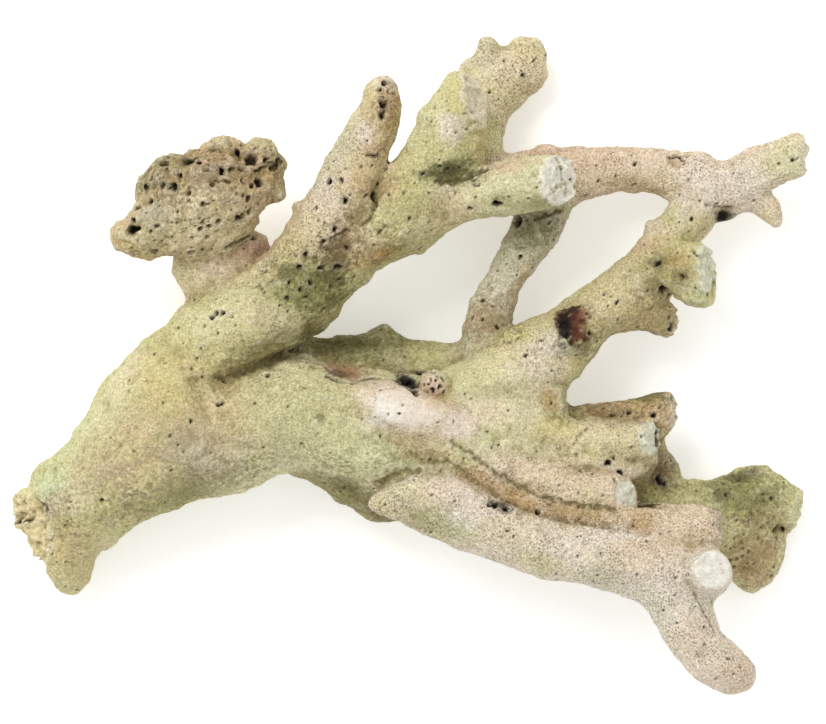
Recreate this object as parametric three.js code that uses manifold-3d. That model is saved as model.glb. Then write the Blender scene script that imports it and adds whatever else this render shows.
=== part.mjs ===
// Branching reef coral: a dry, weathered piece broken off at its base, lying down on its flatter side.
// Millimetres, +Z up. X runs from the broken base to the branch tips and Y across the piece.
// The piece is split at its main forks, and each branch is its own closed solid.

import * as THREE from 'three';
import { LoftGeometry } from 'three/addons/geometries/LoftGeometry.js';
import { mergeVertices } from 'three/addons/utils/BufferGeometryUtils.js';
import Module from 'manifold-3d';

const JOINT_GAP = 0.3;      // clearance between neighbouring branches at a fork
const SECTION_STEP = 8.0;   // distance between cross-sections along a branch
const SIDES = 12;           // corners of a cross-section
const RIPPLE = 0.035;       // unevenness of a cross-section, as a share of its radius
const ROUGH_RIPPLE = 0.085; // the same for the pitted head
const GROUND = 0;           // height of the surface that the piece rests on
const HALF_SPACE = 400;     // side of the block that cuts a branch off flat

const COLOURS = {
  film: 0xbfc191,     // pale yellow-green film over cream skeleton
  bleached: 0xd3c6ab, // bare pinkish cream skeleton
  olive: 0x98935f,    // darker, dirtier underside branches
  pitted: 0xb7a578,   // tan head eaten by boring animals
};

// A rib is one cross-section: [left x, left y, right x, right y, mid-height z, half depth].
// Ribs run outward along a branch. round says which ends are domed: first end, last end.
const BRANCHES = {
  trunk: {
    colour: 'film',
    lofts: [
      {
        round: [false, false],
        ribs: [
          [-123.5, -53, -110.8, -74.5, 12, 9],
          [-122.5, -43, -104.5, -73, 12.4, 14],
          [-118.5, -34.5, -100.5, -61, 14.6, 15.3],
          [-110.3, -28.5, -95, -57.5, 19, 16.2],
          [-104, -18, -86, -51, 21.5, 17.5],
          [-97, -7.5, -76, -47.5, 23.5, 19],
          [-88.5, 3, -62, -41, 25.5, 20],
          [-79, 10, -50, -38.5, 27, 19],
        ],
      },
      {
        round: [false, true],
        ribs: [[-114, -38, -108, -58, 15, 10], [-121.5, -42.5, -115.5, -60, 14, 9], [-125.6, -46.5, -122, -56.8, 14, 6]],
      },
    ],
  },
  body: {
    colour: 'film',
    lofts: [{
      round: [false, true],
      ribs: [
        [-74, 2, -68, -43.5, 26, 17],
        [-57, -2, -53, -39.8, 27, 18],
        [-40, 3, -38, -34, 27.5, 17.5],
        [-24, 0, -24, -36, 28, 17.5],
        [-8, -4, -9, -42, 29, 18],
        [8, -4, 6, -45, 29, 18],
        [21, 3, 20, -46, 28, 17],
        [34, 8, 32, -47, 27, 15.5],
        [41, 5, 39, -45, 26.5, 13.5],
      ],
    }],
  },
  upper_limb: {
    colour: 'film',
    lofts: [{
      round: [false, false],
      ribs: [
        [-82, 4, -62, -9, 27, 12],
        [-71.5, 18, -51, -3, 29, 14],
        [-59, 26, -40, 3, 31, 14.5],
        [-45, 34, -28, 9, 32, 14.5],
        [-32, 43, -20, 20, 32.5, 13.5],
        [-20, 52, -10, 30.5, 33, 12.5],
        [-9, 60, 1, 34, 33.5, 13],
        [-2, 67.5, 16, 46, 34.5, 13.5],
        [3, 73.5, 22.5, 58, 36, 12.5],
        [9, 83.5, 24.5, 70, 36.5, 11],
        [14.5, 93, 25.5, 80.5, 36, 9],
      ],
    }],
  },
  finger: {
    colour: 'bleached',
    lofts: [{
      round: [false, true],
      ribs: [
        [-54, 28, -36, 12, 33, 10],
        [-43.5, 36, -25, 24, 36, 10.5],
        [-36, 46, -17.5, 36, 38, 10],
        [-29, 57.5, -11, 48, 39, 9.3],
        [-23, 67, -8, 61, 40, 8],
        [-18.7, 76, -4, 72, 40.5, 7.2],
        [-14, 83.5, -2.3, 81, 41, 5.8],
        [-12, 88, -3.3, 88, 41, 4],
      ],
    }],
  },
  collar: {
    colour: 'bleached',
    lofts: [{
      round: [false, true],
      ribs: [
        [-67, 12, -40, 24, 26, 9],
        [-70.5, 21, -42.5, 34, 27, 10],
        [-75, 30, -46, 40.5, 28.5, 10],
        [-74, 36, -54, 44, 30, 9],
      ],
    }],
  },
  head: {
    colour: 'pitted',
    rough: true,
    lofts: [{
      round: [true, true],
      ribs: [
        [-91.5, 41, -91, 36, 34, 4.5],
        [-88.5, 48, -86, 33, 35, 10],
        [-85.5, 58.5, -78, 33, 36.5, 13.5],
        [-79, 66, -68, 33.5, 37.5, 15.5],
        [-67, 67, -58, 35.5, 38.5, 16],
        [-57.5, 70.5, -50.5, 41, 38.5, 15],
        [-49, 70.5, -47.5, 49, 38, 12.5],
        [-43, 69.5, -43, 54, 37.5, 9],
        [-40.5, 66, -40.5, 58.5, 37, 4.5],
      ],
    }],
  },
  stub_arm: {
    colour: 'film',
    chop: { at: [47.5, 58, 44], facing: [1, 0.1, 0.62] },
    lofts: [{
      round: [false, false],
      ribs: [
        [-6, 62, -6, 36, 33, 10],
        [8, 61.5, 8, 40.5, 34, 9.5],
        [20, 61, 20, 45.8, 36.5, 9],
        [32, 64, 31, 47, 40, 9],
        [43, 66, 42, 48.5, 43, 9],
        [54, 66, 54, 51, 45, 8],
      ],
    }],
  },
  upper_fork: {
    colour: 'bleached',
    lofts: [
      {
        round: [false, true],
        ribs: [
          [6, 50, 30, 52, 25, 9],
          [9, 62, 31, 61, 20.5, 9.5],
          [12, 73, 29.3, 70, 16, 9.5],
          [14, 83, 32, 79.5, 12, 9.8],
          [17, 92.5, 39, 87.5, 9, 9.8],
          [21, 98, 44, 95, 8.4, 8.6],
        ],
      },
      {
        round: [false, true],
        ribs: [[20, 93, 32, 90, 9.5, 8], [22, 99, 31, 98, 10, 6.5], [24, 104, 29.5, 103, 10.5, 3.6]],
      },
      {
        round: [false, true],
        ribs: [[24, 94, 42, 88, 9.5, 8], [31, 99, 45.3, 93.5, 9.8, 7], [36.5, 103, 44, 99, 10, 4.8]],
      },
    ],
  },
  arch: {
    colour: 'bleached',
    lofts: [
      {
        round: [false, true],
        ribs: [
          [16, 66, 20, 48, 25, 8],
          [34, 66.5, 36, 49, 21.5, 8],
          [46, 68.5, 48, 48, 19.5, 8],
          [57, 69, 60, 53.5, 18, 7.5],
          [68, 69.5, 68, 56, 17, 7],
          [79, 69, 79, 55, 16.5, 7],
          [89, 67, 88, 51.5, 17, 7.6],
          [98, 64.5, 97, 47, 17.5, 8.2],
          [106, 65, 106, 48, 18, 7.6],
          [112, 67, 112, 50.5, 18.5, 5.5],
        ],
      },
      {
        round: [false, false],
        ribs: [
          [104, 65, 104, 52, 18.5, 6],
          [112, 69, 111.5, 54, 19, 6],
          [120, 72, 119, 57.2, 20.5, 5],
          [127.8, 73.6, 127.8, 60.3, 22.5, 4],
        ],
      },
      {
        round: [false, true],
        ribs: [[103, 60, 101, 49, 18, 6], [113.5, 56, 111.5, 48.5, 17, 4.6], [118.3, 50.5, 116, 46, 15.8, 2.8]],
      },
    ],
  },
  strut: {
    colour: 'film',
    lofts: [{
      round: [false, false],
      ribs: [
        [37, 55, 54.5, 53, 20, 6.5],
        [33.6, 43.5, 49.8, 42, 18.5, 7],
        [29.4, 37, 44.4, 35, 18.2, 6.6],
        [25.4, 28.5, 38.6, 27.5, 18.5, 6.2],
        [21, 21, 35, 20.5, 19.5, 6.4],
        [18, 13, 33, 12, 21.5, 7.2],
        [17, 3, 33, 2, 24, 8],
      ],
    }],
  },
  right_limb: {
    colour: 'bleached',
    lofts: [{
      round: [false, false],
      ribs: [
        [20, 2, 42, -18, 27, 12],
        [33.5, 11, 57, 0, 25.5, 11],
        [47, 16.8, 61, 7.5, 23.5, 9],
        [58, 24.7, 70, 12.5, 22.5, 8.6],
        [67, 31.8, 80, 17, 21.5, 9],
        [74.5, 39, 89, 28, 20.5, 9],
        [80.5, 45.5, 93, 38.5, 19.5, 8.2],
        [87, 52.5, 98.5, 44, 18.3, 7.5],
        [91, 60, 104, 50, 17.5, 6.5],
      ],
    }],
  },
  spur: {
    colour: 'film',
    lofts: [{
      round: [false, false],
      ribs: [
        [70, 27, 64, 10.5, 21.5, 7],
        [79, 22, 75.5, 11.3, 20.5, 6.6],
        [86, 18, 85, 9.2, 19.5, 5.2],
      ],
    }],
  },
  knuckle: {
    colour: 'film',
    chop: { at: [95.5, 28, 36], facing: [1, 0, 0.45] },
    lofts: [{
      round: [false, false],
      ribs: [
        [79, 37, 79, 25, 24, 8],
        [86, 38.5, 85, 22.5, 29, 8.5],
        [93, 38, 92, 18.5, 33, 8.5],
        [100.5, 35, 99.5, 18, 36, 7.5],
      ],
    }],
  },
  back_limb: {
    colour: 'olive',
    lofts: [{
      round: [false, false],
      ribs: [
        [-38, 9, -38, -8, 17, 8],
        [-27, 7.5, -26, -12, 15.5, 8],
        [-17, 9, -16, -12, 14.5, 8],
        [-7.5, 12.6, -6, -12, 14, 8],
        [0, 7, 2, -12, 14.5, 8],
        [17, 6.5, 17, -12, 17, 8],
        [30, 2, 30, -12, 20, 8],
      ],
    }],
  },
  keel: {
    colour: 'olive',
    lofts: [{
      round: [false, true],
      ribs: [
        [-38, -22, -41, -33, 21, 7],
        [-26, -26, -29, -38, 20, 8],
        [-14, -32, -18.5, -46, 20, 8],
        [-7, -38, -10, -51.6, 21, 6.5],
        [-3, -44, -5, -51, 22, 4.2],
      ],
    }],
  },
  boss: {
    colour: 'bleached',
    lofts: [{
      round: [true, true],
      ribs: [
        [-16, -6, -15, -15, 40, 5],
        [-9, -5.5, -8, -20, 42, 8],
        [1, -8, 0, -24, 42.5, 9],
        [12, -12, 9, -27, 41, 8.5],
        [23, -17, 19, -29, 39, 6],
      ],
    }],
  },
  branch_a: {
    colour: 'film',
    lofts: [{
      round: [false, false],
      ribs: [
        [34, -6, 34, -28, 23, 9],
        [48, -14.3, 48, -29, 21, 8],
        [60, -12.8, 60, -27, 20.3, 7.6],
        [72, -11.2, 72, -26, 20, 7.2],
        [80, -9.8, 80, -24, 20.5, 6.6],
        [86.3, -9.3, 84, -21.5, 21, 5.2],
      ],
    }],
  },
  branch_b: {
    colour: 'bleached',
    chop: { at: [77.8, -24.5, 30], facing: [1, 0, 0.55] },
    lofts: [{
      round: [false, false],
      ribs: [
        [34, -14, 34, -33, 30, 8.5],
        [50, -18, 50, -31.5, 30, 7.6],
        [64, -19, 64, -30.7, 30, 6.8],
        [74, -19.2, 74, -30.3, 30.2, 6.3],
        [83, -20, 83, -29.5, 30.5, 5.5],
      ],
    }],
  },
  branch_c: {
    colour: 'bleached',
    chop: { at: [70, -42, 37], facing: [1, 0, 0.9] },
    lofts: [{
      round: [false, false],
      ribs: [
        [20, -20, 20, -36, 35, 8],
        [36, -28.5, 36, -42, 35.5, 7.8],
        [50, -33.5, 50, -45.5, 36, 7],
        [62, -36, 62, -46.5, 36.8, 6.2],
        [76, -38, 76, -46.5, 37.5, 5.4],
      ],
    }],
  },
  web: {
    colour: 'olive',
    lofts: [{
      round: [false, false],
      ribs: [
        [50, -18, 79.5, -17, 18, 6],
        [50, -30, 83.5, -28.5, 17, 6.5],
        [53, -40, 88.5, -39, 16.5, 6.5],
        [66, -54, 92, -51, 17, 6.5],
      ],
    }],
  },
  ridge_branch: {
    colour: 'bleached',
    lofts: [{
      round: [false, false],
      ribs: [
        [10, -23, 6, -34, 39, 6],
        [24, -31, 18, -41, 38, 6.5],
        [38, -38.5, 34, -49, 36.5, 6.8],
        [52, -43.5, 50, -53, 35.5, 6.8],
        [66, -45, 66, -57, 35, 7],
        [80, -45, 80, -63, 34.5, 7.6],
        [92, -45.3, 92, -64, 34.5, 7.8],
        [98, -46.6, 99.8, -61, 34.5, 6.2],
      ],
    }],
  },
  fan: {
    colour: 'olive',
    lofts: [
      {
        round: [false, true],
        ribs: [
          [76, -36, 78, -56, 17, 7],
          [88, -38.6, 90, -58, 14.5, 7],
          [98, -38, 98, -63, 11.5, 7],
          [105, -35.7, 104, -70, 8.4, 7],
          [112, -34, 111.5, -73.8, 6.2, 6.8],
          [118, -35.5, 117.5, -70.5, 6, 5.6],
          [120.5, -38, 121.5, -64, 6.5, 3.6],
        ],
      },
      {
        round: [false, false],
        ribs: [[110, -34.5, 110, -56, 6.8, 6.4], [120, -36.5, 120, -55, 7.2, 5.6], [128.4, -41.5, 125.8, -54, 8.5, 3.4]],
      },
    ],
  },
  low_arm: {
    colour: 'bleached',
    lofts: [{
      round: [true, true],
      ribs: [
        [-10.5, -41.5, -8.5, -48, 41.5, 4.2],
        [-5, -38, -3, -50, 42, 7],
        [4, -35, 5, -54, 42, 9],
        [14, -35.5, 18, -59, 42, 10],
        [28, -43.5, 32, -64, 42, 9.8],
        [42, -49.3, 44, -67.6, 41.5, 9.2],
        [56, -52, 56, -70, 41, 9],
        [70, -53.5, 68.5, -73.2, 41, 9.4],
        [88, -58, 75.5, -76.5, 41.5, 9.8],
        [95.5, -74, 79.5, -83, 41, 9],
        [98, -84.3, 83.7, -91.8, 40.5, 8],
        [103.8, -89, 90.5, -99.8, 40, 7.8],
        [109.5, -94.2, 99, -104.2, 39.5, 7],
      ],
    }],
  },
  arm_stub: {
    colour: 'bleached',
    chop: { at: [97, -66, 55.5], facing: [0.16, 0.12, 1] },
    lofts: [{
      round: [false, false],
      ribs: [
        [83, -66, 101, -76, 36, 9],
        [87, -63, 103.5, -72, 44, 9.5],
        [90.6, -62.6, 103.8, -71, 51, 7.2],
        [91.4, -63, 103, -69.8, 61, 6.2],
      ],
    }],
  },
};

const wasm = await Module();
wasm.setup();

/** Smooth curve through one pair of rib numbers, read with the same parameter as its siblings. */
function ribCurve(ribs, first, second) {
  return new THREE.CatmullRomCurve3(ribs.map((rib) => new THREE.Vector3(rib[first], rib[second], 0)));
}

/** Evenly spaced ribs along a branch: mid-point, half width vector and half depth of each. */
function resample(ribs) {
  const curves = [ribCurve(ribs, 0, 1), ribCurve(ribs, 2, 3), ribCurve(ribs, 4, 5)];
  const at = (t) => {
    const [left, right, level] = curves.map((curve) => curve.getPoint(t));
    const centre = left.clone().add(right).multiplyScalar(0.5).setZ(level.x);
    return { centre, half: right.sub(left).multiplyScalar(0.5), depth: level.y };
  };
  const spans = ribs.length - 1;
  const stations = [at(0)];
  for (let span = 0; span < spans; span += 1) {
    const length = at(span / spans).centre.distanceTo(at((span + 1) / spans).centre);
    const steps = Math.max(1, Math.round(length / SECTION_STEP));
    for (let step = 1; step <= steps; step += 1) stations.push(at((span + step / steps) / spans));
  }
  return stations;
}

/** Adds a dome of shrinking sections beyond one end, or a short flat extension of the given length. */
function finishEnd(stations, atStart, domed, extension) {
  const [end, inner] = atStart ? [stations[0], stations[1]] : [stations.at(-1), stations.at(-2)];
  const outward = end.centre.clone().sub(inner.centre).normalize();
  const reach = domed ? Math.min(end.half.length(), end.depth) * 0.85 : 0;
  const rings = domed ? [[0.5, 0.85], [0.86, 0.5], [1, 0.14]] : [];
  const added = rings.map(([along, scale]) => ({
    centre: end.centre.clone().addScaledVector(outward, along * reach + extension),
    half: end.half.clone().multiplyScalar(scale),
    depth: end.depth * scale,
  }));
  if (!domed && extension > 0) end.centre.addScaledVector(outward, extension);
  if (atStart) stations.unshift(...added.reverse());
  else stations.push(...added);
}

/** Corner points of one cross-section, wound so that the loft faces outward. */
function sectionPoints(station, travel, index, ripple, grow) {
  const across = station.half.clone().normalize();
  const down = travel.clone().cross(across).normalize();
  return Array.from({ length: SIDES }, (_, corner) => {
    const angle = (corner / SIDES) * 2 * Math.PI;
    const swell = 1 + ripple * (Math.sin(2 * angle + 0.9 * index) + Math.sin(3 * angle - 1.7 * index));
    return station.centre.clone()
      .addScaledVector(across, Math.cos(angle) * (station.half.length() * swell + grow))
      .addScaledVector(down, Math.sin(angle) * (station.depth * swell + grow));
  });
}

/** Closed skin over a run of ribs, optionally grown outward all round. */
function loftGeometry({ ribs, round }, ripple, grow) {
  const stations = resample(ribs);
  finishEnd(stations, true, round[0], grow);
  finishEnd(stations, false, round[1], grow);
  const sections = stations.map((station, index) => {
    const before = stations[Math.max(index - 1, 0)].centre;
    const after = stations[Math.min(index + 1, stations.length - 1)].centre;
    return sectionPoints(station, after.clone().sub(before).normalize(), index, ripple, grow);
  });
  return new LoftGeometry(sections, { capStart: true, capEnd: true });
}

/** Solid of a closed three.js geometry. */
function solidOf(geometry) {
  const bare = new THREE.BufferGeometry();
  bare.setAttribute('position', geometry.attributes.position);
  bare.setIndex(geometry.index);
  const merged = mergeVertices(bare, 1e-4);
  return new wasm.Manifold(new wasm.Mesh({
    numProp: 3,
    vertProperties: new Float32Array(merged.attributes.position.array),
    triVerts: new Uint32Array(merged.index.array),
  }));
}

/** Everything on the outer side of a plane, as one large block. */
function beyondPlane(at, facing) {
  const outward = new THREE.Vector3(...facing).normalize();
  const block = new THREE.BoxGeometry(HALF_SPACE, HALF_SPACE, HALF_SPACE);
  block.translate(0, 0, HALF_SPACE / 2);
  block.applyQuaternion(new THREE.Quaternion().setFromUnitVectors(new THREE.Vector3(0, 0, 1), outward));
  block.translate(...at);
  return solidOf(block);
}

/** Whole branch before its joints are cut: its lofts joined and its broken end cut flat. */
function branchSolid({ lofts, chop, rough }, grow = 0) {
  const ripple = rough ? ROUGH_RIPPLE : RIPPLE;
  const joined = lofts
    .map((loft) => solidOf(loftGeometry(loft, ripple, grow)))
    .reduce((whole, piece) => whole.add(piece));
  if (!chop) return joined;
  const outward = new THREE.Vector3(...chop.facing).normalize().multiplyScalar(grow);
  const at = new THREE.Vector3(...chop.at).add(outward);
  return joined.subtract(beyondPlane(at.toArray(), chop.facing));
}

/** The largest closed body of a solid, without the crumbs a cut leaves. */
function largestBody(solid) {
  return solid.decompose().reduce((best, body) => (body.volume() > best.volume() ? body : best));
}

/** Cuts each branch back to the ones before it, so that neighbours meet with a joint gap. */
function fitBranches(branches) {
  const floor = beyondPlane([0, 0, GROUND], [0, 0, -1]);
  const grown = [];
  return Object.entries(branches).map(([name, branch]) => {
    const cut = grown.reduce((solid, neighbour) => solid.subtract(neighbour), branchSolid(branch));
    grown.push(branchSolid(branch, JOINT_GAP));
    return { name, colour: branch.colour, solid: largestBody(cut.subtract(floor)) };
  });
}

/** Named mesh of a finished solid, placed at the middle of its own box. */
function branchMesh({ name, colour, solid }) {
  const { vertProperties, triVerts } = solid.getMesh();
  const geometry = new THREE.BufferGeometry();
  geometry.setAttribute('position', new THREE.BufferAttribute(new Float32Array(vertProperties), 3));
  geometry.setIndex(new THREE.BufferAttribute(new Uint32Array(triVerts), 1));
  geometry.computeBoundingBox();
  const middle = geometry.boundingBox.getCenter(new THREE.Vector3());
  geometry.translate(-middle.x, -middle.y, -middle.z);
  geometry.computeVertexNormals();
  const material = new THREE.MeshStandardMaterial({ color: COLOURS[colour], roughness: 0.95, metalness: 0 });
  const mesh = new THREE.Mesh(geometry, material);
  mesh.name = name;
  mesh.position.copy(middle);
  return mesh;
}

const coral = new THREE.Group();
coral.name = 'branching_coral';
coral.add(...fitBranches(BRANCHES).map(branchMesh));

const extent = new THREE.Box3().setFromObject(coral);
const middle = extent.getCenter(new THREE.Vector3());
coral.position.set(-middle.x, -middle.y, -extent.min.z);

export default coral;
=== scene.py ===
"""Branching reef coral: a dry, weathered piece with a torn base, lying on a pale table.

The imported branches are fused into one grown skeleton, sculpted, pitted and stained, and then parted
again at the forks, so that every branch keeps its own closed mesh. Shapes are worked out in millimetres
and turned into metres when a piece is finished.
"""

from __future__ import annotations

import logging
import math
from collections.abc import Sequence
from dataclasses import dataclass, field
from enum import Enum

import bmesh
import bpy
import numpy as np
from mathutils import Matrix, Vector
from mathutils.bvhtree import BVHTree

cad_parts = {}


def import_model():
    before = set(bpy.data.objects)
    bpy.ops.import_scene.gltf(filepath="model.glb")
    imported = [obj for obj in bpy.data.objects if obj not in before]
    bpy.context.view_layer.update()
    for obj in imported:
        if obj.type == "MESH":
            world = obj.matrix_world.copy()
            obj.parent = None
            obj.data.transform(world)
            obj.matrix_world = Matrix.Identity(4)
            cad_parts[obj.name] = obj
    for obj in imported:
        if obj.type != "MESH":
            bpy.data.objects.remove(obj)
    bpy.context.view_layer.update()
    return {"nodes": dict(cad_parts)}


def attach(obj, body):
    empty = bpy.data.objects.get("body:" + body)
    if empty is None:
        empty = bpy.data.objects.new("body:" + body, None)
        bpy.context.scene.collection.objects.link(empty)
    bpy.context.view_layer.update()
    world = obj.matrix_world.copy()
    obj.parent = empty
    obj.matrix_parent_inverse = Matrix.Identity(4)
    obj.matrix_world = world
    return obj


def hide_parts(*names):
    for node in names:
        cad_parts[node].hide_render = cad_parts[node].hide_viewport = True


LOG = logging.getLogger("coral")
MM = 0.001  # metres in a millimetre
Point = tuple[float, float]
Triple = tuple[float, float, float]


class Tint(Enum):
    """Colours of weathered coral skeleton and of what grows on it, as sRGB hex."""

    CREAM = "#dbcea4"
    WARM_CREAM = "#e3d3a4"
    FRESH = "#eeeade"
    LIME = "#e9e6da"
    PALE_GREEN = "#e2e3d0"
    PALE_FILM = "#dad6a8"
    FILM = "#cac48c"
    YELLOW_FILM = "#d3c587"
    MINT = "#c9d0a0"
    MOSS = "#8f8a4c"
    DEEP_MOSS = "#565a2c"
    GREY_GREEN = "#ccc8ac"
    PINK = "#e1ccb0"
    ROSE = "#d3ad94"
    LILAC = "#e4d7c6"
    ASH = "#b3a892"
    TAN = "#c7ad7f"
    OCHRE = "#b69353"
    ORANGE = "#c08c3e"
    OLIVE = "#9c9560"
    DARK_OLIVE = "#6a6238"
    BROWN = "#7f6643"
    RUST = "#9c6a48"
    UMBER = "#463423"
    SPONGE = "#57291a"
    BLACK = "#17100c"


class Slot(Enum):
    """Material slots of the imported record."""

    FILM = "film_coral"
    BLEACHED = "bleached_coral"
    OLIVE = "olive_coral"
    PITTED = "pitted_coral"


def to_linear(colour: str) -> tuple[float, float, float, float]:
    """Turns an sRGB hex colour into linear RGBA.

    Args:
        colour: Hex colour such as "#d8cba8".

    Returns:
        Linear red, green, blue and an alpha of 1.
    """
    channels = [int(colour[i : i + 2], 16) / 255 for i in (1, 3, 5)]
    linear = [c / 12.92 if c <= 0.04045 else ((c + 0.055) / 1.055) ** 2.4 for c in channels]
    return (linear[0], linear[1], linear[2], 1.0)


def add_node(
    tree: bpy.types.NodeTree,
    kind: str,
    inputs: dict[int | str, object] | None = None,
    **settings: object,
) -> bpy.types.Node:
    """Adds a node with its settings, and fills or links its inputs.

    Args:
        tree: Node tree that gets the node.
        kind: Node type name.
        inputs: Socket name or number to a value, or to the output socket that feeds it.
        **settings: Properties of the node itself.

    Returns:
        The new node.
    """
    node = tree.nodes.new(kind)
    for name, value in settings.items():
        setattr(node, name, value)
    for key, value in (inputs or {}).items():
        if isinstance(value, bpy.types.NodeSocket):
            tree.links.new(value, node.inputs[key])
        else:
            node.inputs[key].default_value = value
    return node


def add_math(
    tree: bpy.types.NodeTree,
    operation: str,
    first: bpy.types.NodeSocket,
    second: bpy.types.NodeSocket | float = 0.0,
) -> bpy.types.NodeSocket:
    """Adds a sum on one or two numbers, and returns its result."""
    return add_node(tree, "ShaderNodeMath", {0: first, 1: second}, operation=operation).outputs[0]


def add_range(
    tree: bpy.types.NodeTree,
    value: bpy.types.NodeSocket,
    source: tuple[object, object],
    target: tuple[float, float],
    **settings: object,
) -> bpy.types.NodeSocket:
    """Adds a node that maps one range of numbers to another, and returns its result."""
    inputs = {
        "Value": value, "From Min": source[0], "From Max": source[1],
        "To Min": target[0], "To Max": target[1],
    }
    return add_node(tree, "ShaderNodeMapRange", inputs, **settings).outputs["Result"]


def add_noise(
    tree: bpy.types.NodeTree,
    size: float,
    detail: float,
    roughness: float = 0.5,
    place: bpy.types.NodeSocket | None = None,
) -> bpy.types.NodeSocket:
    """Adds cloudy noise.

    Args:
        tree: Node tree that gets the noise.
        size: Width of its clouds, in the units of the place.
        detail: How many finer layers it has.
        roughness: How strong the finer layers are.
        place: Where it is looked up; left out, at the node's own default place.

    Returns:
        The noise, from 0 to 1.
    """
    inputs: dict[int | str, object] = {"Scale": 1 / size, "Detail": detail, "Roughness": roughness}
    if place is not None:
        inputs["Vector"] = place
    return add_node(tree, "ShaderNodeTexNoise", inputs).outputs["Fac"]


def linked_groups(count: int, links: np.ndarray) -> np.ndarray:
    """Numbers the connected groups of linked things.

    Args:
        count: How many things there are.
        links: Pairs of linked things.

    Returns:
        The group of each thing, named by its lowest member.
    """
    group = np.arange(count)
    while True:
        first, second = group[links[:, 0]], group[links[:, 1]]
        if (first == second).all():
            return group
        np.minimum.at(group, np.maximum(first, second), np.minimum(first, second))
        while (group[group] != group).any():
            group = group[group]


@dataclass
class Skin:
    """A closed surface as plain arrays, in millimetres."""

    verts: np.ndarray
    faces: np.ndarray

    @classmethod
    def from_mesh(cls, mesh: bpy.types.Mesh) -> Skin:
        """Reads a mesh whose faces all have the same number of corners."""
        verts = np.empty(len(mesh.vertices) * 3, np.float32)
        mesh.vertices.foreach_get("co", verts)
        corners = np.empty(len(mesh.loops), np.int32)
        mesh.loops.foreach_get("vertex_index", corners)
        sides = len(mesh.loops) // len(mesh.polygons)
        return cls(verts.reshape(-1, 3).astype(float), corners.reshape(-1, sides))

    def to_mesh(self, name: str, scale: float = 1.0) -> bpy.types.Mesh:
        """Makes a Blender mesh of the surface.

        Args:
            name: Name of the mesh.
            scale: Factor on every coordinate.

        Returns:
            The new mesh, smooth shaded.
        """
        mesh = bpy.data.meshes.new(name)
        count, sides = self.faces.shape
        mesh.vertices.add(len(self.verts))
        mesh.vertices.foreach_set("co", (self.verts * scale).astype(np.float32).ravel())
        mesh.loops.add(count * sides)
        mesh.loops.foreach_set("vertex_index", self.faces.astype(np.int32).ravel())
        mesh.polygons.add(count)
        mesh.polygons.foreach_set("loop_start", np.arange(0, count * sides, sides, dtype=np.int32))
        mesh.polygons.foreach_set("use_smooth", np.ones(count, bool))
        mesh.update(calc_edges=True)
        return mesh

    def face_normals(self) -> np.ndarray:
        """Area-weighted normals of the faces of a surface of quads."""
        corners = [self.verts[self.faces[:, corner]] for corner in range(4)]
        return 0.5 * np.cross(corners[2] - corners[0], corners[3] - corners[1])

    def normals(self) -> np.ndarray:
        """Unit normals of the vertices of a surface of quads."""
        per_face = self.face_normals()
        total = np.zeros_like(self.verts)
        for corner in range(self.faces.shape[1]):
            for axis in range(3):
                total[:, axis] += np.bincount(
                    self.faces[:, corner], weights=per_face[:, axis], minlength=len(self.verts)
                )
        return total / np.maximum(np.linalg.norm(total, axis=1, keepdims=True), 1e-9)

    def edges(self) -> tuple[np.ndarray, np.ndarray]:
        """Both ends of every side of every face."""
        ends = np.roll(self.faces, -1, axis=1)
        return self.faces.ravel(), ends.ravel()

    def outer_shell(self) -> Skin:
        """The largest connected part, without any hollow shut up inside it."""
        start, end = self.edges()
        group = linked_groups(len(self.verts), np.stack([start, end], axis=1))
        largest = np.argmax(np.bincount(group))
        faces = self.faces[group[self.faces[:, 0]] == largest]
        used, local = np.unique(faces, return_inverse=True)
        return Skin(self.verts[used], local.reshape(faces.shape))

    def blurred(self, values: np.ndarray, rounds: int) -> np.ndarray:
        """Averages values over neighbouring vertices.

        Args:
            values: One row of numbers for each vertex.
            rounds: How many times each vertex takes the mean of itself and its neighbours.

        Returns:
            The blurred values, in the same shape.
        """
        start, end = self.edges()
        degree = np.bincount(start, minlength=len(self.verts)) + 1.0
        flat = values.reshape(len(self.verts), -1).copy()
        for _ in range(rounds):
            for column in range(flat.shape[1]):
                near = np.bincount(start, weights=flat[end, column], minlength=len(self.verts))
                flat[:, column] = (flat[:, column] + near) / degree
        return flat.reshape(values.shape)


def evaluated(mesh: bpy.types.Mesh, fit: str, settings: dict[str, object]) -> bpy.types.Mesh:
    """Runs one modifier on a mesh and returns the result as a plain mesh.

    Args:
        mesh: The mesh to work on, which is removed afterwards.
        fit: Modifier type name.
        settings: Modifier properties; for a node tree, also its inputs by socket identifier.

    Returns:
        The finished mesh.
    """
    holder = bpy.data.objects.new("workpiece", mesh)
    bpy.context.scene.collection.objects.link(holder)
    modifier = holder.modifiers.new("work", fit)
    for name, value in settings.items():
        if name.startswith("Socket_"):
            modifier[name] = value
        else:
            setattr(modifier, name, value)
    holder.update_tag()
    graph = bpy.context.evaluated_depsgraph_get()
    result = bpy.data.meshes.new_from_object(holder.evaluated_get(graph))
    bpy.data.objects.remove(holder)
    bpy.data.meshes.remove(mesh)
    return result


def ripple_noise(points: np.ndarray, wavelength: float, seed: int, waves: int = 7) -> np.ndarray:
    """Smooth repeatable noise from a few crossing waves.

    Args:
        points: Positions in millimetres.
        wavelength: Distance between crests in millimetres.
        seed: Seed of the wave directions.
        waves: Number of waves.

    Returns:
        One number from about -1 to 1 for each point.
    """
    random = np.random.default_rng(seed)
    total = np.zeros(len(points))
    for _ in range(waves):
        way = random.normal(size=3)
        way *= 2 * math.pi / (wavelength * random.uniform(0.7, 1.4) * np.linalg.norm(way))
        total += np.sin(points @ way + random.uniform(0, 2 * math.pi))
    return total / math.sqrt(waves)


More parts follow.
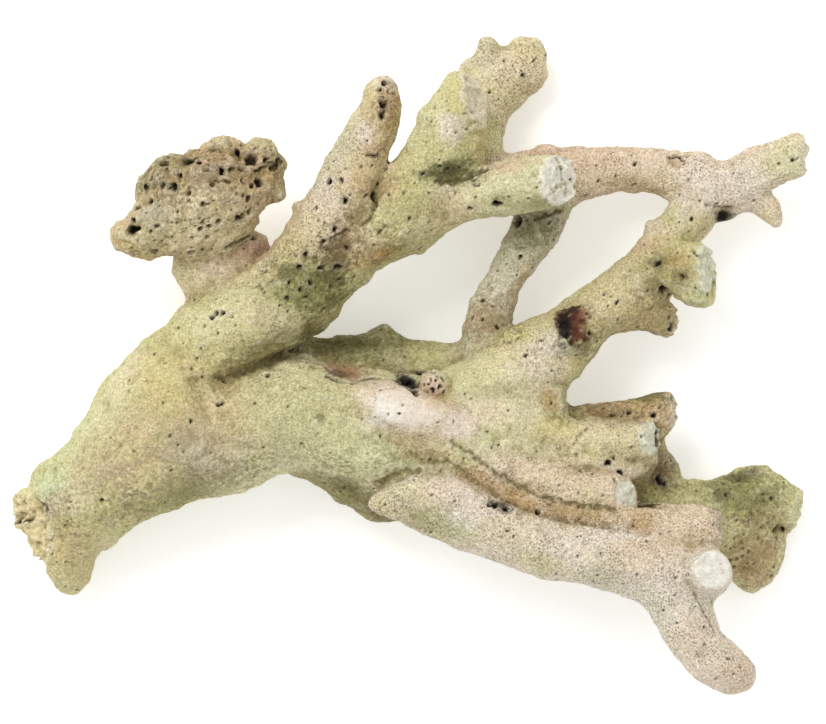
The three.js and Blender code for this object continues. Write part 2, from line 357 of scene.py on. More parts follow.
def turned(away: np.ndarray, degrees: float) -> tuple[np.ndarray, np.ndarray]:
    """Splits offsets into those along and across an axis that is turned about Z.

    Args:
        away: Offsets in millimetres.
        degrees: Turn of the axis.

    Returns:
        The offsets along the axis, and those across it.
    """
    turn = math.radians(degrees)
    along = away[:, 0] * math.cos(turn) + away[:, 1] * math.sin(turn)
    across = away[:, 1] * math.cos(turn) - away[:, 0] * math.sin(turn)
    return along, across


class Surface:
    """Finds places on the coral's skin from above."""

    def __init__(self, skin: Skin) -> None:
        """Builds the search tree of a skin."""
        self.tree = BVHTree.FromPolygons(skin.verts.tolist(), skin.faces.tolist())

    def below(self, x: float, y: float, top: float = 90.0) -> tuple[np.ndarray, np.ndarray] | None:
        """Drops a point on to the skin.

        Args:
            x: Place along the coral.
            y: Place across it.
            top: Height that the point drops from.

        Returns:
            The place it lands on and the normal there, or None where it misses.
        """
        place, normal, _, _ = self.tree.ray_cast(Vector((x, y, top)), Vector((0, 0, -1)))
        return None if place is None else (np.array(place), np.array(normal))


@dataclass(frozen=True)
class Knob:
    """A rounded lump fused on to the skeleton: centre, radii and turn about Z, in mm and degrees."""

    centre: Triple
    radii: Triple
    turn: float = 0.0

    def matrix(self) -> Matrix:
        """Placement of a unit ball as this lump."""
        place = Matrix.Translation(self.centre) @ Matrix.Rotation(math.radians(self.turn), 4, "Z")
        return place @ Matrix.Diagonal((*self.radii, 1.0))


@dataclass(frozen=True)
class BrokenEnd:
    """A branch snapped off: the middle of the break, the way it faces, the branch's way and radii."""

    centre: Triple
    facing: Triple
    along: Triple
    radii: Point
    relief: float = 0.5
    fresh: float = 1.0
    reach: float = 3.0
    tint: Tint = Tint.FRESH

    def frame(self) -> tuple[np.ndarray, np.ndarray]:
        """Middle and unit normal of the break."""
        normal = np.array(self.facing, float)
        return np.array(self.centre, float), normal / np.linalg.norm(normal)

    def stump(self) -> Matrix:
        """Placement of a unit cylinder that carries the branch on past the break."""
        way = Vector(self.along).normalized()
        side = way.cross(Vector((0, 0, 1)))
        if side.length < 0.3:
            side = Vector((0, 1, 0)).cross(way)
        side.normalize()
        up = side.cross(way)
        turn = Matrix((side, up, way)).transposed().to_4x4()
        middle = Vector(self.centre) + way * (self.reach - 5.0) / 2
        length = self.reach + 5.0
        return Matrix.Translation(middle) @ turn @ Matrix.Diagonal((*self.radii, length, 1.0))

    def height(self, points: np.ndarray, widen: float = 1.35) -> np.ndarray:
        """Height of points above the rough face of the break.

        Args:
            points: Positions in mm.
            widen: How far past the branch's own radii the break still counts.

        Returns:
            Heights in mm, far below for points off the branch.
        """
        middle, normal = self.frame()
        away = points - middle
        above = away @ normal
        way = np.array(self.along, float)
        way /= np.linalg.norm(way)
        side = np.cross(way, (0.0, 0.0, 1.0))
        side = side / np.linalg.norm(side) if np.linalg.norm(side) > 0.3 else np.array((0.0, 1.0, 0.0))
        up = np.cross(side, way)
        out = np.hypot(away @ side / self.radii[0], away @ up / self.radii[1])
        rough = ripple_noise(points, 5.5, 11) + 0.6 * ripple_noise(points, 2.4, 12)
        rough = self.relief * (np.abs(rough) * 1.4 - 0.7)
        return np.where((out < widen) & (np.abs(above) < self.reach + 9.0), above - rough, -99.0)


@dataclass(frozen=True)
class Swell:
    """A rise or hollow of the skin: place seen from above, radii, height and turn."""

    x: float
    y: float
    radii: Point
    height: float
    turn: float = 0.0


@dataclass(frozen=True)
class Bite:
    """A notch or corner pressed in from the side, at any height: middle, radii and push."""

    x: float
    y: float
    radii: Point
    push: Point


@dataclass(frozen=True)
class Groove:
    """A crease along a line seen from above, with its half width, depth and darkness, which is painted shade
    and dirt in the crease.
    """

    line: Sequence[Point]
    width: float
    depth: float
    shade_and_grime: float = 0.6


@dataclass(frozen=True)
class Hole:
    """A bored hole: place seen from above, radius, depth and how dark it is inside, with painted shade and
    dirt.
    """

    x: float
    y: float
    radius: float
    depth: float = 2.5
    shade_and_grime: float = 1.0


@dataclass(frozen=True)
class Zone:
    """A ball of the coral: its centre and radius."""

    centre: Triple
    radius: float

    def share(self, points: np.ndarray) -> np.ndarray:
        """How far inside the ball each point is, from 0 to 1."""
        gap = np.linalg.norm(points - np.array(self.centre), axis=1) / self.radius
        return np.clip((1.0 - gap) * 3.0, 0.0, 1.0)


@dataclass(frozen=True)
class Stain:
    """A patch of colour seen from above; a calm one also hides the speckle."""

    x: float
    y: float
    radii: Point
    tint: Tint
    strength: float = 0.8
    turn: float = 0.0
    edge: float = 4.5
    calm: float = 0.0
    scatter: float = 1.0  # above 1 the patch breaks up into flecks
    sink: float = 1.0  # how far down it follows a hollow, against its width


KNOBS = (
    # torn base
    Knob((-123.5, -50.5, 15), (5.2, 6, 7), 20),
    Knob((-117.6, -59.5, 14), (3.0, 3.6, 6), 40),
    Knob((-112.6, -65.5, 13), (2.4, 3.4, 6), 20),
    Knob((-108.6, -71, 12), (2.4, 4.4, 6)),
    Knob((-115.5, -39.5, 17), (6, 4.5, 8), 25),
    Knob((-76, -46.3, 24), (1.8, 1.6, 2)),
    # pitted head
    Knob((-78.6, 60.4, 36), (3.8, 4.0, 8)),
    Knob((-71.6, 60, 39), (4, 3, 6)),
    Knob((-60.4, 66.5, 39), (3.8, 4.4, 8)),
    Knob((-57.8, 70.6, 38), (1.6, 1.6, 2)),
    Knob((-47.6, 66.8, 39), (4.4, 4.6, 8)),
    Knob((-41, 62, 37), (3.2, 3.8, 7)),
    Knob((-43, 55.5, 38), (3.6, 4.4, 7)),
    Knob((-87, 45, 35), (2.2, 2.2, 6)),
    Knob((-88, 38, 34), (3, 3, 6)),
    Knob((-82, 36, 36), (5, 4, 8)),
    Knob((-52, 53, 41), (3, 3, 4)),
    Knob((-77, 52, 41), (3.4, 3, 4)),
    # upper limb
    Knob((4.2, 37.5, 30), (3.4, 2.4, 6), 30),
    Knob((-34.5, 49, 37), (1.6, 1.8, 4)),
    Knob((-12, 86, 40.5), (2, 2.4, 4)),
    Knob((15, 91, 36), (2.6, 2, 5)),
    # upper fork
    Knob((25.4, 103.5, 10), (2.6, 2.4, 5)),
    Knob((38, 102, 10), (5, 3, 6), -20),
    Knob((20, 95.5, 9.5), (2.4, 2.4, 6)),
    # arch
    Knob((44.5, 67, 20), (4.2, 3.2, 5)),
    Knob((110.8, 66.5, 19), (2.6, 2.8, 4)),
    Knob((117.4, 48.6, 17), (2.2, 4.0, 4), -25),
    Knob((119.2, 45.4, 17), (1.2, 2.2, 3), -25),
    Knob((114, 52, 17.5), (4, 4, 4.4), -35),
    Knob((104, 47.6, 17), (3.4, 2.4, 5), 20),
    Knob((94, 66, 18), (4, 1.6, 5)),
    # right limb
    Knob((78.2, 43.6, 20), (1.5, 2.0, 3), 30),
    Knob((92.2, 21, 33), (3.2, 2.4, 6)),
    Knob((88.5, 34.5, 36), (4, 3.4, 4)),
    Knob((84.3, 10.8, 19.5), (1.8, 2.2, 4.6)),
    # pitted boss beside the cave
    Knob((8.4, -7.4, 39), (4.6, 4.4, 4.6), 20),
    # bridge between the short branches
    Knob((57, -33.5, 30.5), (17, 5.5, 5.5), -6),
    Knob((72, -32, 24), (9, 6, 6), -4),
    # back limb and keel
    Knob((-7.4, 10.4, 14.5), (2.2, 2.2, 4)),
    Knob((-21.5, -42.8, 20), (2, 1.8, 4)),
    Knob((5.6, -53.4, 38), (2, 2, 5)),
    # fan
    Knob((112, -36.5, 7), (7, 3, 5)),
    Knob((112, -70, 6.4), (6, 3.8, 4.6)),
)

BROKEN_ENDS = (
    BrokenEnd(
        (21.2, 85.5, 37), (0.92, 0.36, 0.42), (0.52, 0.85, -0.05), (6.6, 8.0), 0.8, 0.6, 4.0, Tint.LILAC
    ),
    BrokenEnd((47.8, 58, 44.5), (1, 0.05, 0.7), (1, 0.02, 0.2), (7.6, 7.8), 1.0, 0.9, 7.0, Tint.FRESH),
    BrokenEnd(
        (94.7, 30, 36), (1, 0.12, 0.42), (0.9, -0.12, 0.42), (6.4, 7.0), 0.8, 0.7, 5.0, Tint.PALE_GREEN
    ),
    BrokenEnd((77.2, -24.2, 30.2), (1, 0.1, 0.55), (1, 0, 0.03), (4.4, 5.2), 0.8, 0.85, 5.0, Tint.PALE_GREEN),
    BrokenEnd((69.6, -42, 37.6), (1, 0, 0.8), (1, -0.06, 0.06), (3.2, 3.8), 0.6, 0.95, 5.0, Tint.PALE_GREEN),
    BrokenEnd((96.0, -65.0, 55.0), (0.2, 0.08, 1), (0.1, 0.06, 1), (5.0, 5.2), 0.4, 0.9, 3.0, Tint.LIME),
    BrokenEnd((85, -15.3, 21.5), (1, 0.05, 0.2), (1, 0.02, 0.03), (5.0, 4.4), 0.9, 0.3, 3.0, Tint.PALE_GREEN),
    BrokenEnd((127.4, 67, 22.5), (1, 0.03, 0.15), (1, 0.12, 0.2), (6.4, 3.8), 0.6, 0.3, 2.5, Tint.PALE_GREEN),
    BrokenEnd((98.6, -53.5, 35), (1, -0.08, 0.15), (1, -0.02, 0), (6.6, 6), 1.2, 0.35, 2.5, Tint.PINK),
    BrokenEnd((126.6, -47.5, 8.6), (1, -0.3, 0.4), (1, -0.2, 0.1), (6.2, 3.6), 0.9, 0.4, 2.5, Tint.PALE_FILM),
    BrokenEnd((85.8, 13, 19.6), (1, -0.08, 0.1), (1, -0.15, -0.1), (4.0, 4.6), 0.9, 0.0, 2.0, Tint.OLIVE),
    BrokenEnd(
        (-121, -53, 15), (-0.8, -0.42, 0.55), (-0.85, -0.35, 0.1), (12.0, 9.0),
        1.5, 0.75, 3.0, Tint.WARM_CREAM,
    ),
)

CRISP_ZONES = (
    Zone((-64, 50, 36), 36),
    Zone((-119, -57, 14), 20),
    Zone((93, 26, 33), 15),
    Zone((84, 12, 20), 9),
    Zone((48, 58, 44), 12),
    Zone((78.5, 44, 19), 7),
    Zone((-7, 12, 15), 6),
    Zone((116, -54, 7), 24),
    Zone((32, 98, 12), 16),
    Zone((114, 56, 18), 20),
    Zone((45, 67, 20), 7),
    Zone((8, -7, 40), 9),
)

SWELLS = (
    # trunk
    Swell(-114, -40, (7, 6), 1.0),
    Swell(-118, -47, (5, 3), -1.4, 30),
    Swell(-113.5, -55, (3.5, 8), -1.8, 15),
    Swell(-121, -53, (4, 2.5), 1.2),
    Swell(-106, -58, (5, 12), 1.4, -20),
    Swell(-102, -40, (7, 9), 0.8),
    Swell(-92, -28, (12, 6), -0.8, 50),
    Swell(-84, 0, (6, 5), 0.9),
    Swell(-76, -25, (9, 12), 0.7),
    Swell(-66, -33, (10, 6), 1.0, 20),
    Swell(-70, -8, (9, 7), 0.9),
    # fork and body
    Swell(-46, -8, (9, 5), -1.2, 15),
    Swell(-57, -9, (4, 4), -1.3),
    Swell(-40, -20, (10, 8), 0.9),
    Swell(-26, -27, (9, 8), 1.2, -30),
    Swell(-28, -16, (5, 5), -0.5),
    Swell(-8, -30, (10, 5), 0.9, -20),
    Swell(30, 0, (9, 6), 0.8),
    Swell(44, -3, (8, 7), 1.0),
    Swell(31, -10, (9, 3), -0.8, 8),
    Swell(58, -22, (8, 4), 0.7),
    Swell(8.4, -7.4, (4.2, 4.0), 1.4),
    Swell(0.2, -6.8, (3.0, 2.6), -4.5, -35),
    Swell(-19, -3.2, (7, 2.4), -2.0, -8),
    Swell(0, -14, (12, 6), 0.9, -12),
    Swell(33.4, 8.5, (3.0, 1.6), 1.1),
    # upper limb
    Swell(-30, 9.5, (3, 5), -2.8),
    Swell(-24, 33, (5, 9), -1.6, -35),
    Swell(-17, 45, (3, 8), -1.4, -35),
    Swell(-9, 55, (3.4, 4), -1.2),
    Swell(-35, 24, (9, 6), -0.9),
    Swell(-48, 20, (10, 7), 0.9, 30),
    Swell(15, 59, (8, 3), -2.6, 12),
    Swell(12, 67, (5, 6), 1.2),
    Swell(16, 74, (4, 6), 0.8, -30),
    Swell(20, 80, (3, 7), -1.2, -30),
    Swell(28.5, 50, (2.4, 2.2), -0.9),
    Swell(4, 56, (6, 6), 0.7),
    Swell(-2, 42, (9, 5), 0.8, 30),
    Swell(-15, 84, (3, 2), -0.6),
    # arch
    Swell(102, 47.5, (3.4, 2.2), -2.2, 15),
    Swell(71.5, 68.3, (2.2, 1.2), -1.3),
    Swell(98, 56, (8, 5), 0.9),
    Swell(115, 63, (5, 4), -0.9),
    # right limb
    Swell(82, 22.5, (3.6, 2.2), -2.4, -30),
    Swell(80, 31.5, (3, 3), -1.1),
    Swell(87, 27, (3, 2.2), -0.9),
    Swell(53, 12, (5, 5), -0.9),
    Swell(42, 41.5, (4.8, 0.8), 1.6, -66),
    Swell(23, 14, (3, 3), 0.9),
    Swell(27.5, 17, (2.4, 2), 0.8),
    Swell(20.5, 10, (2.6, 2.4), 0.8),
    Swell(74, 27, (6, 5), 0.7),
    # low arm
    Swell(13, -44, (6, 5), 0.8),
    Swell(33, -55, (10, 5), 0.5, -20),
    Swell(26, -40, (9, 3), 1.8, -38),
    Swell(40, -47, (9, 3), 1.8, -22),
    Swell(56, -50.5, (11, 3), 1.8, -8),
    Swell(50, -31, (12, 3), 1.6, -6),
    Swell(64, -33, (11, 3), 1.8, -4),
    Swell(2, -43, (4, 3), -1.2, 30),
    Swell(8, -39, (5, 3), 1.2, -10),
    Swell(-2, -41, (4, 3), 1.2),
    Swell(62, -62, (6, 9), 0.8),
    Swell(58, -57, (5, 3), -0.9, 40),
    Swell(80, -66, (7, 6), 0.7),
    Swell(93, -86, (6, 6), 0.5, -50),
    # fan and web
    Swell(106, -48, (6, 6), -1.1),
    Swell(113, -64, (5, 6), 0.9),
    Swell(81, -37, (4, 4), -1.2),
    Swell(120, -55, (4, 2), -1.0),
    Swell(120.6, -54.6, (2.4, 1.6), -3.2),
    Swell(126, -58, (4, 3), -1.6),
    # head
    Swell(-54, 67.5, (2.2, 3.4), -4.2),
    Swell(-66, 66, (3, 2), -1.6),
    Swell(-84.5, 52.5, (3, 3), -1.4),
    Swell(-86.3, 42, (2.4, 1.8), -3.0),
    Swell(-69, 63.5, (3.4, 2), -3.4),
    Swell(-49.5, 64.3, (3, 2.8), -1.8),
    Swell(-59, 60, (1.5, 1.5), -3.0),
    Swell(-53, 45, (5, 1.6), -1.4, 25),
    Swell(-63, 52, (9, 6), 1.0),
    Swell(-77, 47, (6, 4), 0.8),
    Swell(-72, 56, (6, 3), -1.0),
    Swell(-45, 60, (6, 1.6), -1.6, 20),
    Swell(-80, 56, (3, 3), -1.2),
    Swell(-54, 57, (6, 1.6), -1.2, 5),
)

BITES = (
    # the head's ragged top edge
    Bite(-52.6, 69, (2.4, 6), (0.0, -3.4)),
    Bite(-73, 69, (7, 6), (0.0, -2.6)),
    Bite(-85, 66, (5, 6), (1.8, -1.6)),
    Bite(-66, 70, (2.4, 5), (0.0, -1.6)),
    Bite(-90, 52, (4, 5), (1.6, 0.0)),
    # the spur's foot and the fan's notch
    Bite(121.5, -55, (1.8, 5), (-2.2, 0.4)),
    Bite(104.5, -30.5, (9, 4), (0.0, -1.0)),
)

GROOVES = (
    Groove(((-60, -7), (-52, -2.5), (-45, 0), (-38, 4), (-31, 8)), 2.0, 1.0, 0.1),
    Groove(((-60, -5.6), (-53, -3.8), (-46, -0.8), (-39, 2.8)), 0.7, 0.9, 0.5),
    Groove(((-126.5, -52), (-123, -51), (-120, -50.3)), 0.6, 1.8, 0.95),
    Groove(((-118, -44.5), (-115, -47)), 0.6, 1.2, 0.7),
    Groove(((-25, -4.5), (-21, -6.3), (-17, -6.6), (-13, -5), (-8, -5.2), (-3, -6)), 0.8, 1.4, 0.7),
    Groove(((-9, -38.8), (-6, -36.6), (-2, -34.8), (3, -34.5)), 0.9, 1.0, 0.3),
    Groove(((1, -29), (7, -32), (13, -31.5), (18, -34.5)), 0.8, 0.7, 0.25),
    Groove(
        ((16, -34), (22, -37.5), (28, -42), (36, -46), (46, -49.5), (58, -51.5), (70, -53.5)),
        0.7, 0.6, 0.3,
    ),
    Groove(
        ((14, -25.5), (20, -29), (27, -34), (34, -38.5), (42, -42.5), (54, -45.2), (66, -46.6)),
        0.7, 0.8, 0.35,
    ),
    Groove(((53, -26.5), (54.5, -23.5), (57.5, -21)), 0.6, 0.7, 0.35),
    Groove(((9, 57), (15, 57), (20, 58.8), (25, 61)), 0.8, 1.5, 0.4),
    Groove(((20, 58.6), (22, 56)), 0.5, 0.9, 0.8),
    Groove(((-14, 44), (-12, 45.5), (-10.5, 48.5), (-9.6, 52)), 0.7, 1.6, 0.6),
    Groove(((-25, 38.5), (-22, 40), (-19, 41.5)), 0.6, 1.2, 0.7),
    Groove(((-12.5, 65.3), (-9, 65.2)), 0.5, 0.9, 0.75),
    Groove(((-9, 41), (-7, 42.6)), 0.45, 1.0, 0.9),
    Groove(((-47, 24), (-45, 22)), 0.45, 0.9, 0.85),
    Groove(((-29, 7.2), (-20, 6), (-10, 6)), 1.6, 0.9, 0.35),
    Groove(((41, 45.6), (44, 46.8), (50, 48.6)), 0.6, 1.2, 0.5),
    Groove(((-57, 36), (-52, 38.8), (-49, 40)), 0.9, 1.2, 0.7),
    Groove(((-47.5, 60), (-43.5, 62.5), (-39.5, 63.5)), 0.7, 1.4, 0.85),
    Groove(((-60, 57), (-56, 56.8)), 0.5, 1.0, 0.85),
    Groove(((-54, 44.8), (-51.5, 46.5), (-49.5, 48)), 0.5, 1.2, 0.8),
    Groove(((-7.2, 82.3), (-7.6, 79.6), (-8, 77)), 0.65, 3.2, 1.0),
    Groove(((91, 34.5), (93, 33)), 0.5, 1.2, 0.9),
    Groove(((96, 30.5), (97.5, 28), (98, 25.5)), 0.35, 0.5, 0.4),
    Groove(((96, 50.3), (101, 49.8), (104, 50)), 0.5, 0.6, 0.5),
    Groove(((84.2, 66), (86, 66.5), (87.6, 66.1), (88.6, 65), (88.8, 63.5)), 0.5, 1.0, 1.0),
    Groove(((36.8, 93.5), (37.6, 91.5)), 0.5, 1.0, 0.8),
    Groove(((80, -22), (80.2, -24), (80.4, -27)), 0.7, 1.2, 0.6),
    Groove(((90.5, -73), (93, -77), (95, -81), (97.5, -85.5)), 0.6, 0.7, 0.25),
    Groove(((88.5, -59.5), (92, -60)), 0.4, 0.7, 0.6),
    Groove(((29, 35.8), (33, 37), (38, 36.5)), 0.6, 0.5, 0.2),
    Groove(
        ((29.8, 8.4), (31.5, 10.2), (34.5, 10.6), (36.8, 8.8), (35, 6.6), (31.6, 6.2), (29.8, 8.4)),
        0.4, 0.6, 0.45,
    ),
    Groove(((47.2, 64.6), (48.4, 61), (49.6, 57.5), (50.2, 54)), 0.4, 0.9, 0.5),
    Groove(((45, 53), (48.5, 56), (50.8, 52.4)), 0.4, 0.7, 0.25),
)

HOLES = (
    # trunk and fork
    Hole(-97.5, -44, 0.6), Hole(-68.3, -18.6, 0.6), Hole(-59, -13, 0.6), Hole(-58, -6, 0.8, 1.5),
    Hole(-44.2, -4, 0.75), Hole(-60.8, 15.4, 0.75, 3), Hole(-61.6, 14, 0.5), Hole(-58.4, 15.6, 0.6),
    Hole(-64, 11.6, 0.45), Hole(-73, 10.6, 0.45), Hole(-80, 2.5, 0.5, 1.2), Hole(-76.8, -0.3, 0.4),
    Hole(-88, -9.5, 0.4), Hole(-45.3, 28.5, 0.5), Hole(-43, 26, 0.5), Hole(-37.5, 25, 0.5),
    # finger
    Hole(-7.3, 82, 0.95, 3.6), Hole(-8, 77, 0.6, 2.6), Hole(-7, 88.4, 0.6), Hole(-8.5, 86, 0.5),
    Hole(-4.2, 85, 0.4, 1.2), Hole(-6, 85.5, 0.4, 1.2), Hole(-24.8, 57.3, 0.8, 3), Hole(-20.8, 57.3, 0.5),
    Hole(-19.5, 51, 0.8, 3), Hole(-22.8, 41.8, 0.75, 3), Hole(-26.2, 37.7, 0.7, 3), Hole(-32.2, 34, 0.75, 3),
    Hole(-34.2, 30, 0.6), Hole(-29, 49, 0.4), Hole(-12.8, 52.3, 0.5), Hole(-10, 53, 1.3, 3.4),
    Hole(-9.4, 56, 0.7, 1.2), Hole(-5.6, 53.4, 0.5), Hole(-22.2, 30.2, 0.9, 2.6), Hole(-24, 23.8, 0.6),
    Hole(-30.5, 25, 0.7, 2), Hole(-34, 23, 0.6, 2), Hole(-27, 30, 0.5, 2), Hole(-19, 36.5, 0.6, 2),
    Hole(-21.5, 26, 0.5, 2), Hole(-38, 20, 0.5, 1.6), Hole(-32, 20.5, 0.6, 1.6), Hole(-12.5, 69.8, 0.45, 1.4),
    # upper limb and forks
    Hole(-0.4, 67, 0.5), Hole(-3.8, 67.4, 0.4), Hole(5, 60, 0.5), Hole(-1, 53.4, 0.45), Hole(1, 45.6, 0.4),
    Hole(4.3, 36, 0.7, 1.6), Hole(17, 61.5, 0.6, 1.6), Hole(13, 61, 0.6, 1.6), Hole(10.5, 61.7, 0.5, 1.6),
    Hole(26.4, 87, 0.45), Hole(37.2, 92.5, 0.55, 2), Hole(41, 97.3, 0.6, 1.2), Hole(28.6, 50, 1.1, 2.4),
    Hole(49.2, 60.7, 0.6, 1.8), Hole(52, 57.6, 0.5, 1.4), Hole(20.2, 48.4, 0.5, 1.6),
    # strut
    Hole(35.2, 45.4, 1.5, 3.4), Hole(45.8, 44.4, 0.5), Hole(36.2, 33.8, 0.5), Hole(26.2, 25, 0.4),
    Hole(24.4, 19.4, 0.5), Hole(28, 17.8, 0.5), Hole(20.8, 14.3, 0.6), Hole(23.8, 14, 0.6),
    Hole(29, 11, 0.7, 1.6),
    # sponge crust
    Hole(50, 12, 1.3, 1.6), Hole(51.2, 8.8, 1.0, 1.2), Hole(49.6, 15, 0.8, 1), Hole(53, 14, 0.7, 0.8),
    Hole(52, 16.6, 0.6, 0.8), Hole(56, 13, 0.6, 0.7), Hole(54, 10.2, 0.7, 0.8), Hole(57.4, 15.4, 0.5, 0.6),
    Hole(52.4, 6.2, 0.7, 0.8), Hole(55, 17.6, 0.6, 0.7), Hole(48.6, 13.4, 0.6, 0.8),
    # arch
    Hole(86, 64.8, 2.7, 1.3, 0.12), Hole(101.6, 46.6, 2.0, 1.6, 0.8), Hole(73, 63.4, 0.6),
    Hole(73.2, 56.6, 0.4), Hole(61.5, 58.3, 0.5, 1.6), Hole(57.3, 53.3, 0.4),
    Hole(91.4, 46, 0.6), Hole(119.2, 63.8, 0.4, 1.2), Hole(123.8, 64.6, 0.5, 1.2), Hole(111.5, 51.7, 0.4),
    # right limb
    Hole(63, 21.2, 0.4), Hole(67, 19, 0.4), Hole(82, 23.2, 1.3, 3), Hole(84.4, 21.6, 0.8, 2.4),
    Hole(85, 10.8, 0.9, 2.2), Hole(84.3, 14.2, 0.5), Hole(96, 21.4, 0.6), Hole(42.8, 7, 0.45),
    Hole(37.8, 2.4, 0.4), Hole(58.5, 9, 0.6), Hole(80, 31.5, 0.9, 1.6), Hole(87.5, 27.2, 0.7, 1.3),
    # body
    Hole(-24.8, -2.4, 1.0, 2.6), Hole(-3.2, -3.6, 0.9, 2.4), Hole(-1.6, -4.8, 1.4, 3),
    Hole(0.2, -6, 1.5, 3.4), Hole(1.8, -8, 1.6, 3.4), Hole(2.8, -9.6, 1.1, 2.6), Hole(4.2, -3.8, 0.9, 2),
    Hole(6.5, -2.9, 1.1, 2.4), Hole(8.2, -3.2, 0.7, 1.6), Hole(11.8, -5.2, 0.5, 1.2), Hole(7, -7, 0.5, 1.2),
    Hole(9, -6, 0.5, 1.2), Hole(8.2, -9, 0.6, 1.2), Hole(10.4, -8, 0.5, 1.2), Hole(6.2, -9.4, 0.5, 1.2),
    Hole(9.6, -4.6, 0.4, 1), Hole(7.4, -5.2, 0.4, 1), Hole(11.6, -9.6, 0.4, 1), Hole(5, -7, 0.5, 1.4),
    Hole(-2.6, -16.6, 0.4), Hole(12.2, -3.6, 0.4),
    Hole(-10, -11.4, 0.4, 1), Hole(28, -45.2, 1.0, 1.8), Hole(30.8, -46.2, 0.8, 1.8),
    Hole(26.2, -44.8, 0.6, 1.4),
    Hole(41.4, -47.6, 0.7, 1.6), Hole(-8.3, -23, 0.4, 1), Hole(18.2, 4.5, 0.5, 1.4),
    # short branches
    Hole(66, -17, 0.6, 1.6), Hole(68.5, -17.3, 0.5, 1.4), Hole(71, -16, 0.6, 1.6), Hole(78.7, -17, 0.7, 2),
    Hole(62.8, -15, 0.4), Hole(64, -32.2, 0.8, 2), Hole(65.6, -30.8, 0.6, 1.6), Hole(68, -35.2, 0.6, 1.6),
    Hole(66, -37.4, 0.5, 1.4), Hole(79.5, -34.8, 1.1, 2), Hole(81, -38, 1.2, 2.2), Hole(83, -38.8, 0.7, 1.4),
    Hole(80.4, -22.8, 0.9, 2), Hole(74.8, -23.6, 0.5, 1),
    # low arm
    Hole(54.6, -54.6, 0.4, 0.8), Hole(53.6, -61, 0.4, 0.8), Hole(60.6, -60, 0.3, 0.6),
    Hole(72.5, -67, 0.55, 1.2), Hole(84.8, -67.8, 0.4, 0.8), Hole(80.7, -78.4, 0.35, 0.7),
    Hole(85.4, -82.3, 0.3, 0.6), Hole(-7.4, -44.8, 0.5, 1.2), Hole(96.5, -76, 0.45),
    # fan
    Hole(121.6, -54.6, 0.9, 2), Hole(107, -38.2, 0.6, 1.2), Hole(103, -42.5, 0.5, 1),
    Hole(117.4, -44, 0.5, 1.2),
    Hole(101.4, -49, 0.4, 1), Hole(119, -60, 0.4, 1),
    # pitted head
    Hole(-86.6, 41.8, 1.6, 4), Hole(-84.6, 42, 1.0, 3), Hole(-58.8, 60, 1.1, 4), Hole(-63, 60.6, 0.8, 3),
    Hole(-69, 63, 1.6, 4), Hole(-66.6, 64, 0.9, 3), Hole(-49.6, 64, 1.7, 2.6), Hole(-55, 60.6, 0.7, 3),
    Hole(-82, 54.8, 0.9, 3), Hole(-81.2, 58, 0.8, 3), Hole(-77, 55.8, 0.7, 3), Hole(-73.8, 54.6, 1.1, 3),
    Hole(-86.4, 44.3, 0.8, 2.4), Hole(-64.2, 44, 0.8, 2.6), Hole(-80.6, 41.2, 0.5, 2),
    Hole(-81.2, 50.4, 0.6, 2),
    Hole(-47, 57, 1.2, 3), Hole(-49.2, 55.8, 0.8, 3), Hole(-40.4, 64.4, 0.8, 2.6), Hole(-42, 61.6, 1.0, 2.6),
    Hole(-44.3, 64, 0.7, 2.6), Hole(-53, 45.4, 0.8, 2), Hole(-61.4, 67, 0.8, 3), Hole(-53.8, 66.6, 1.0, 3),
    Hole(-65.5, 62.6, 0.6, 2.4), Hole(-76, 61, 0.6, 2.4), Hole(-71.6, 58, 0.6, 2.4),
    Hole(-77.4, 62.6, 0.6, 2),
    Hole(-51.6, 52.4, 0.6, 2), Hole(-72.6, 44, 0.4, 1.6), Hole(-62.4, 49.6, 0.4, 1.6),
    Hole(-89.2, 45.6, 0.6, 1.8),
)

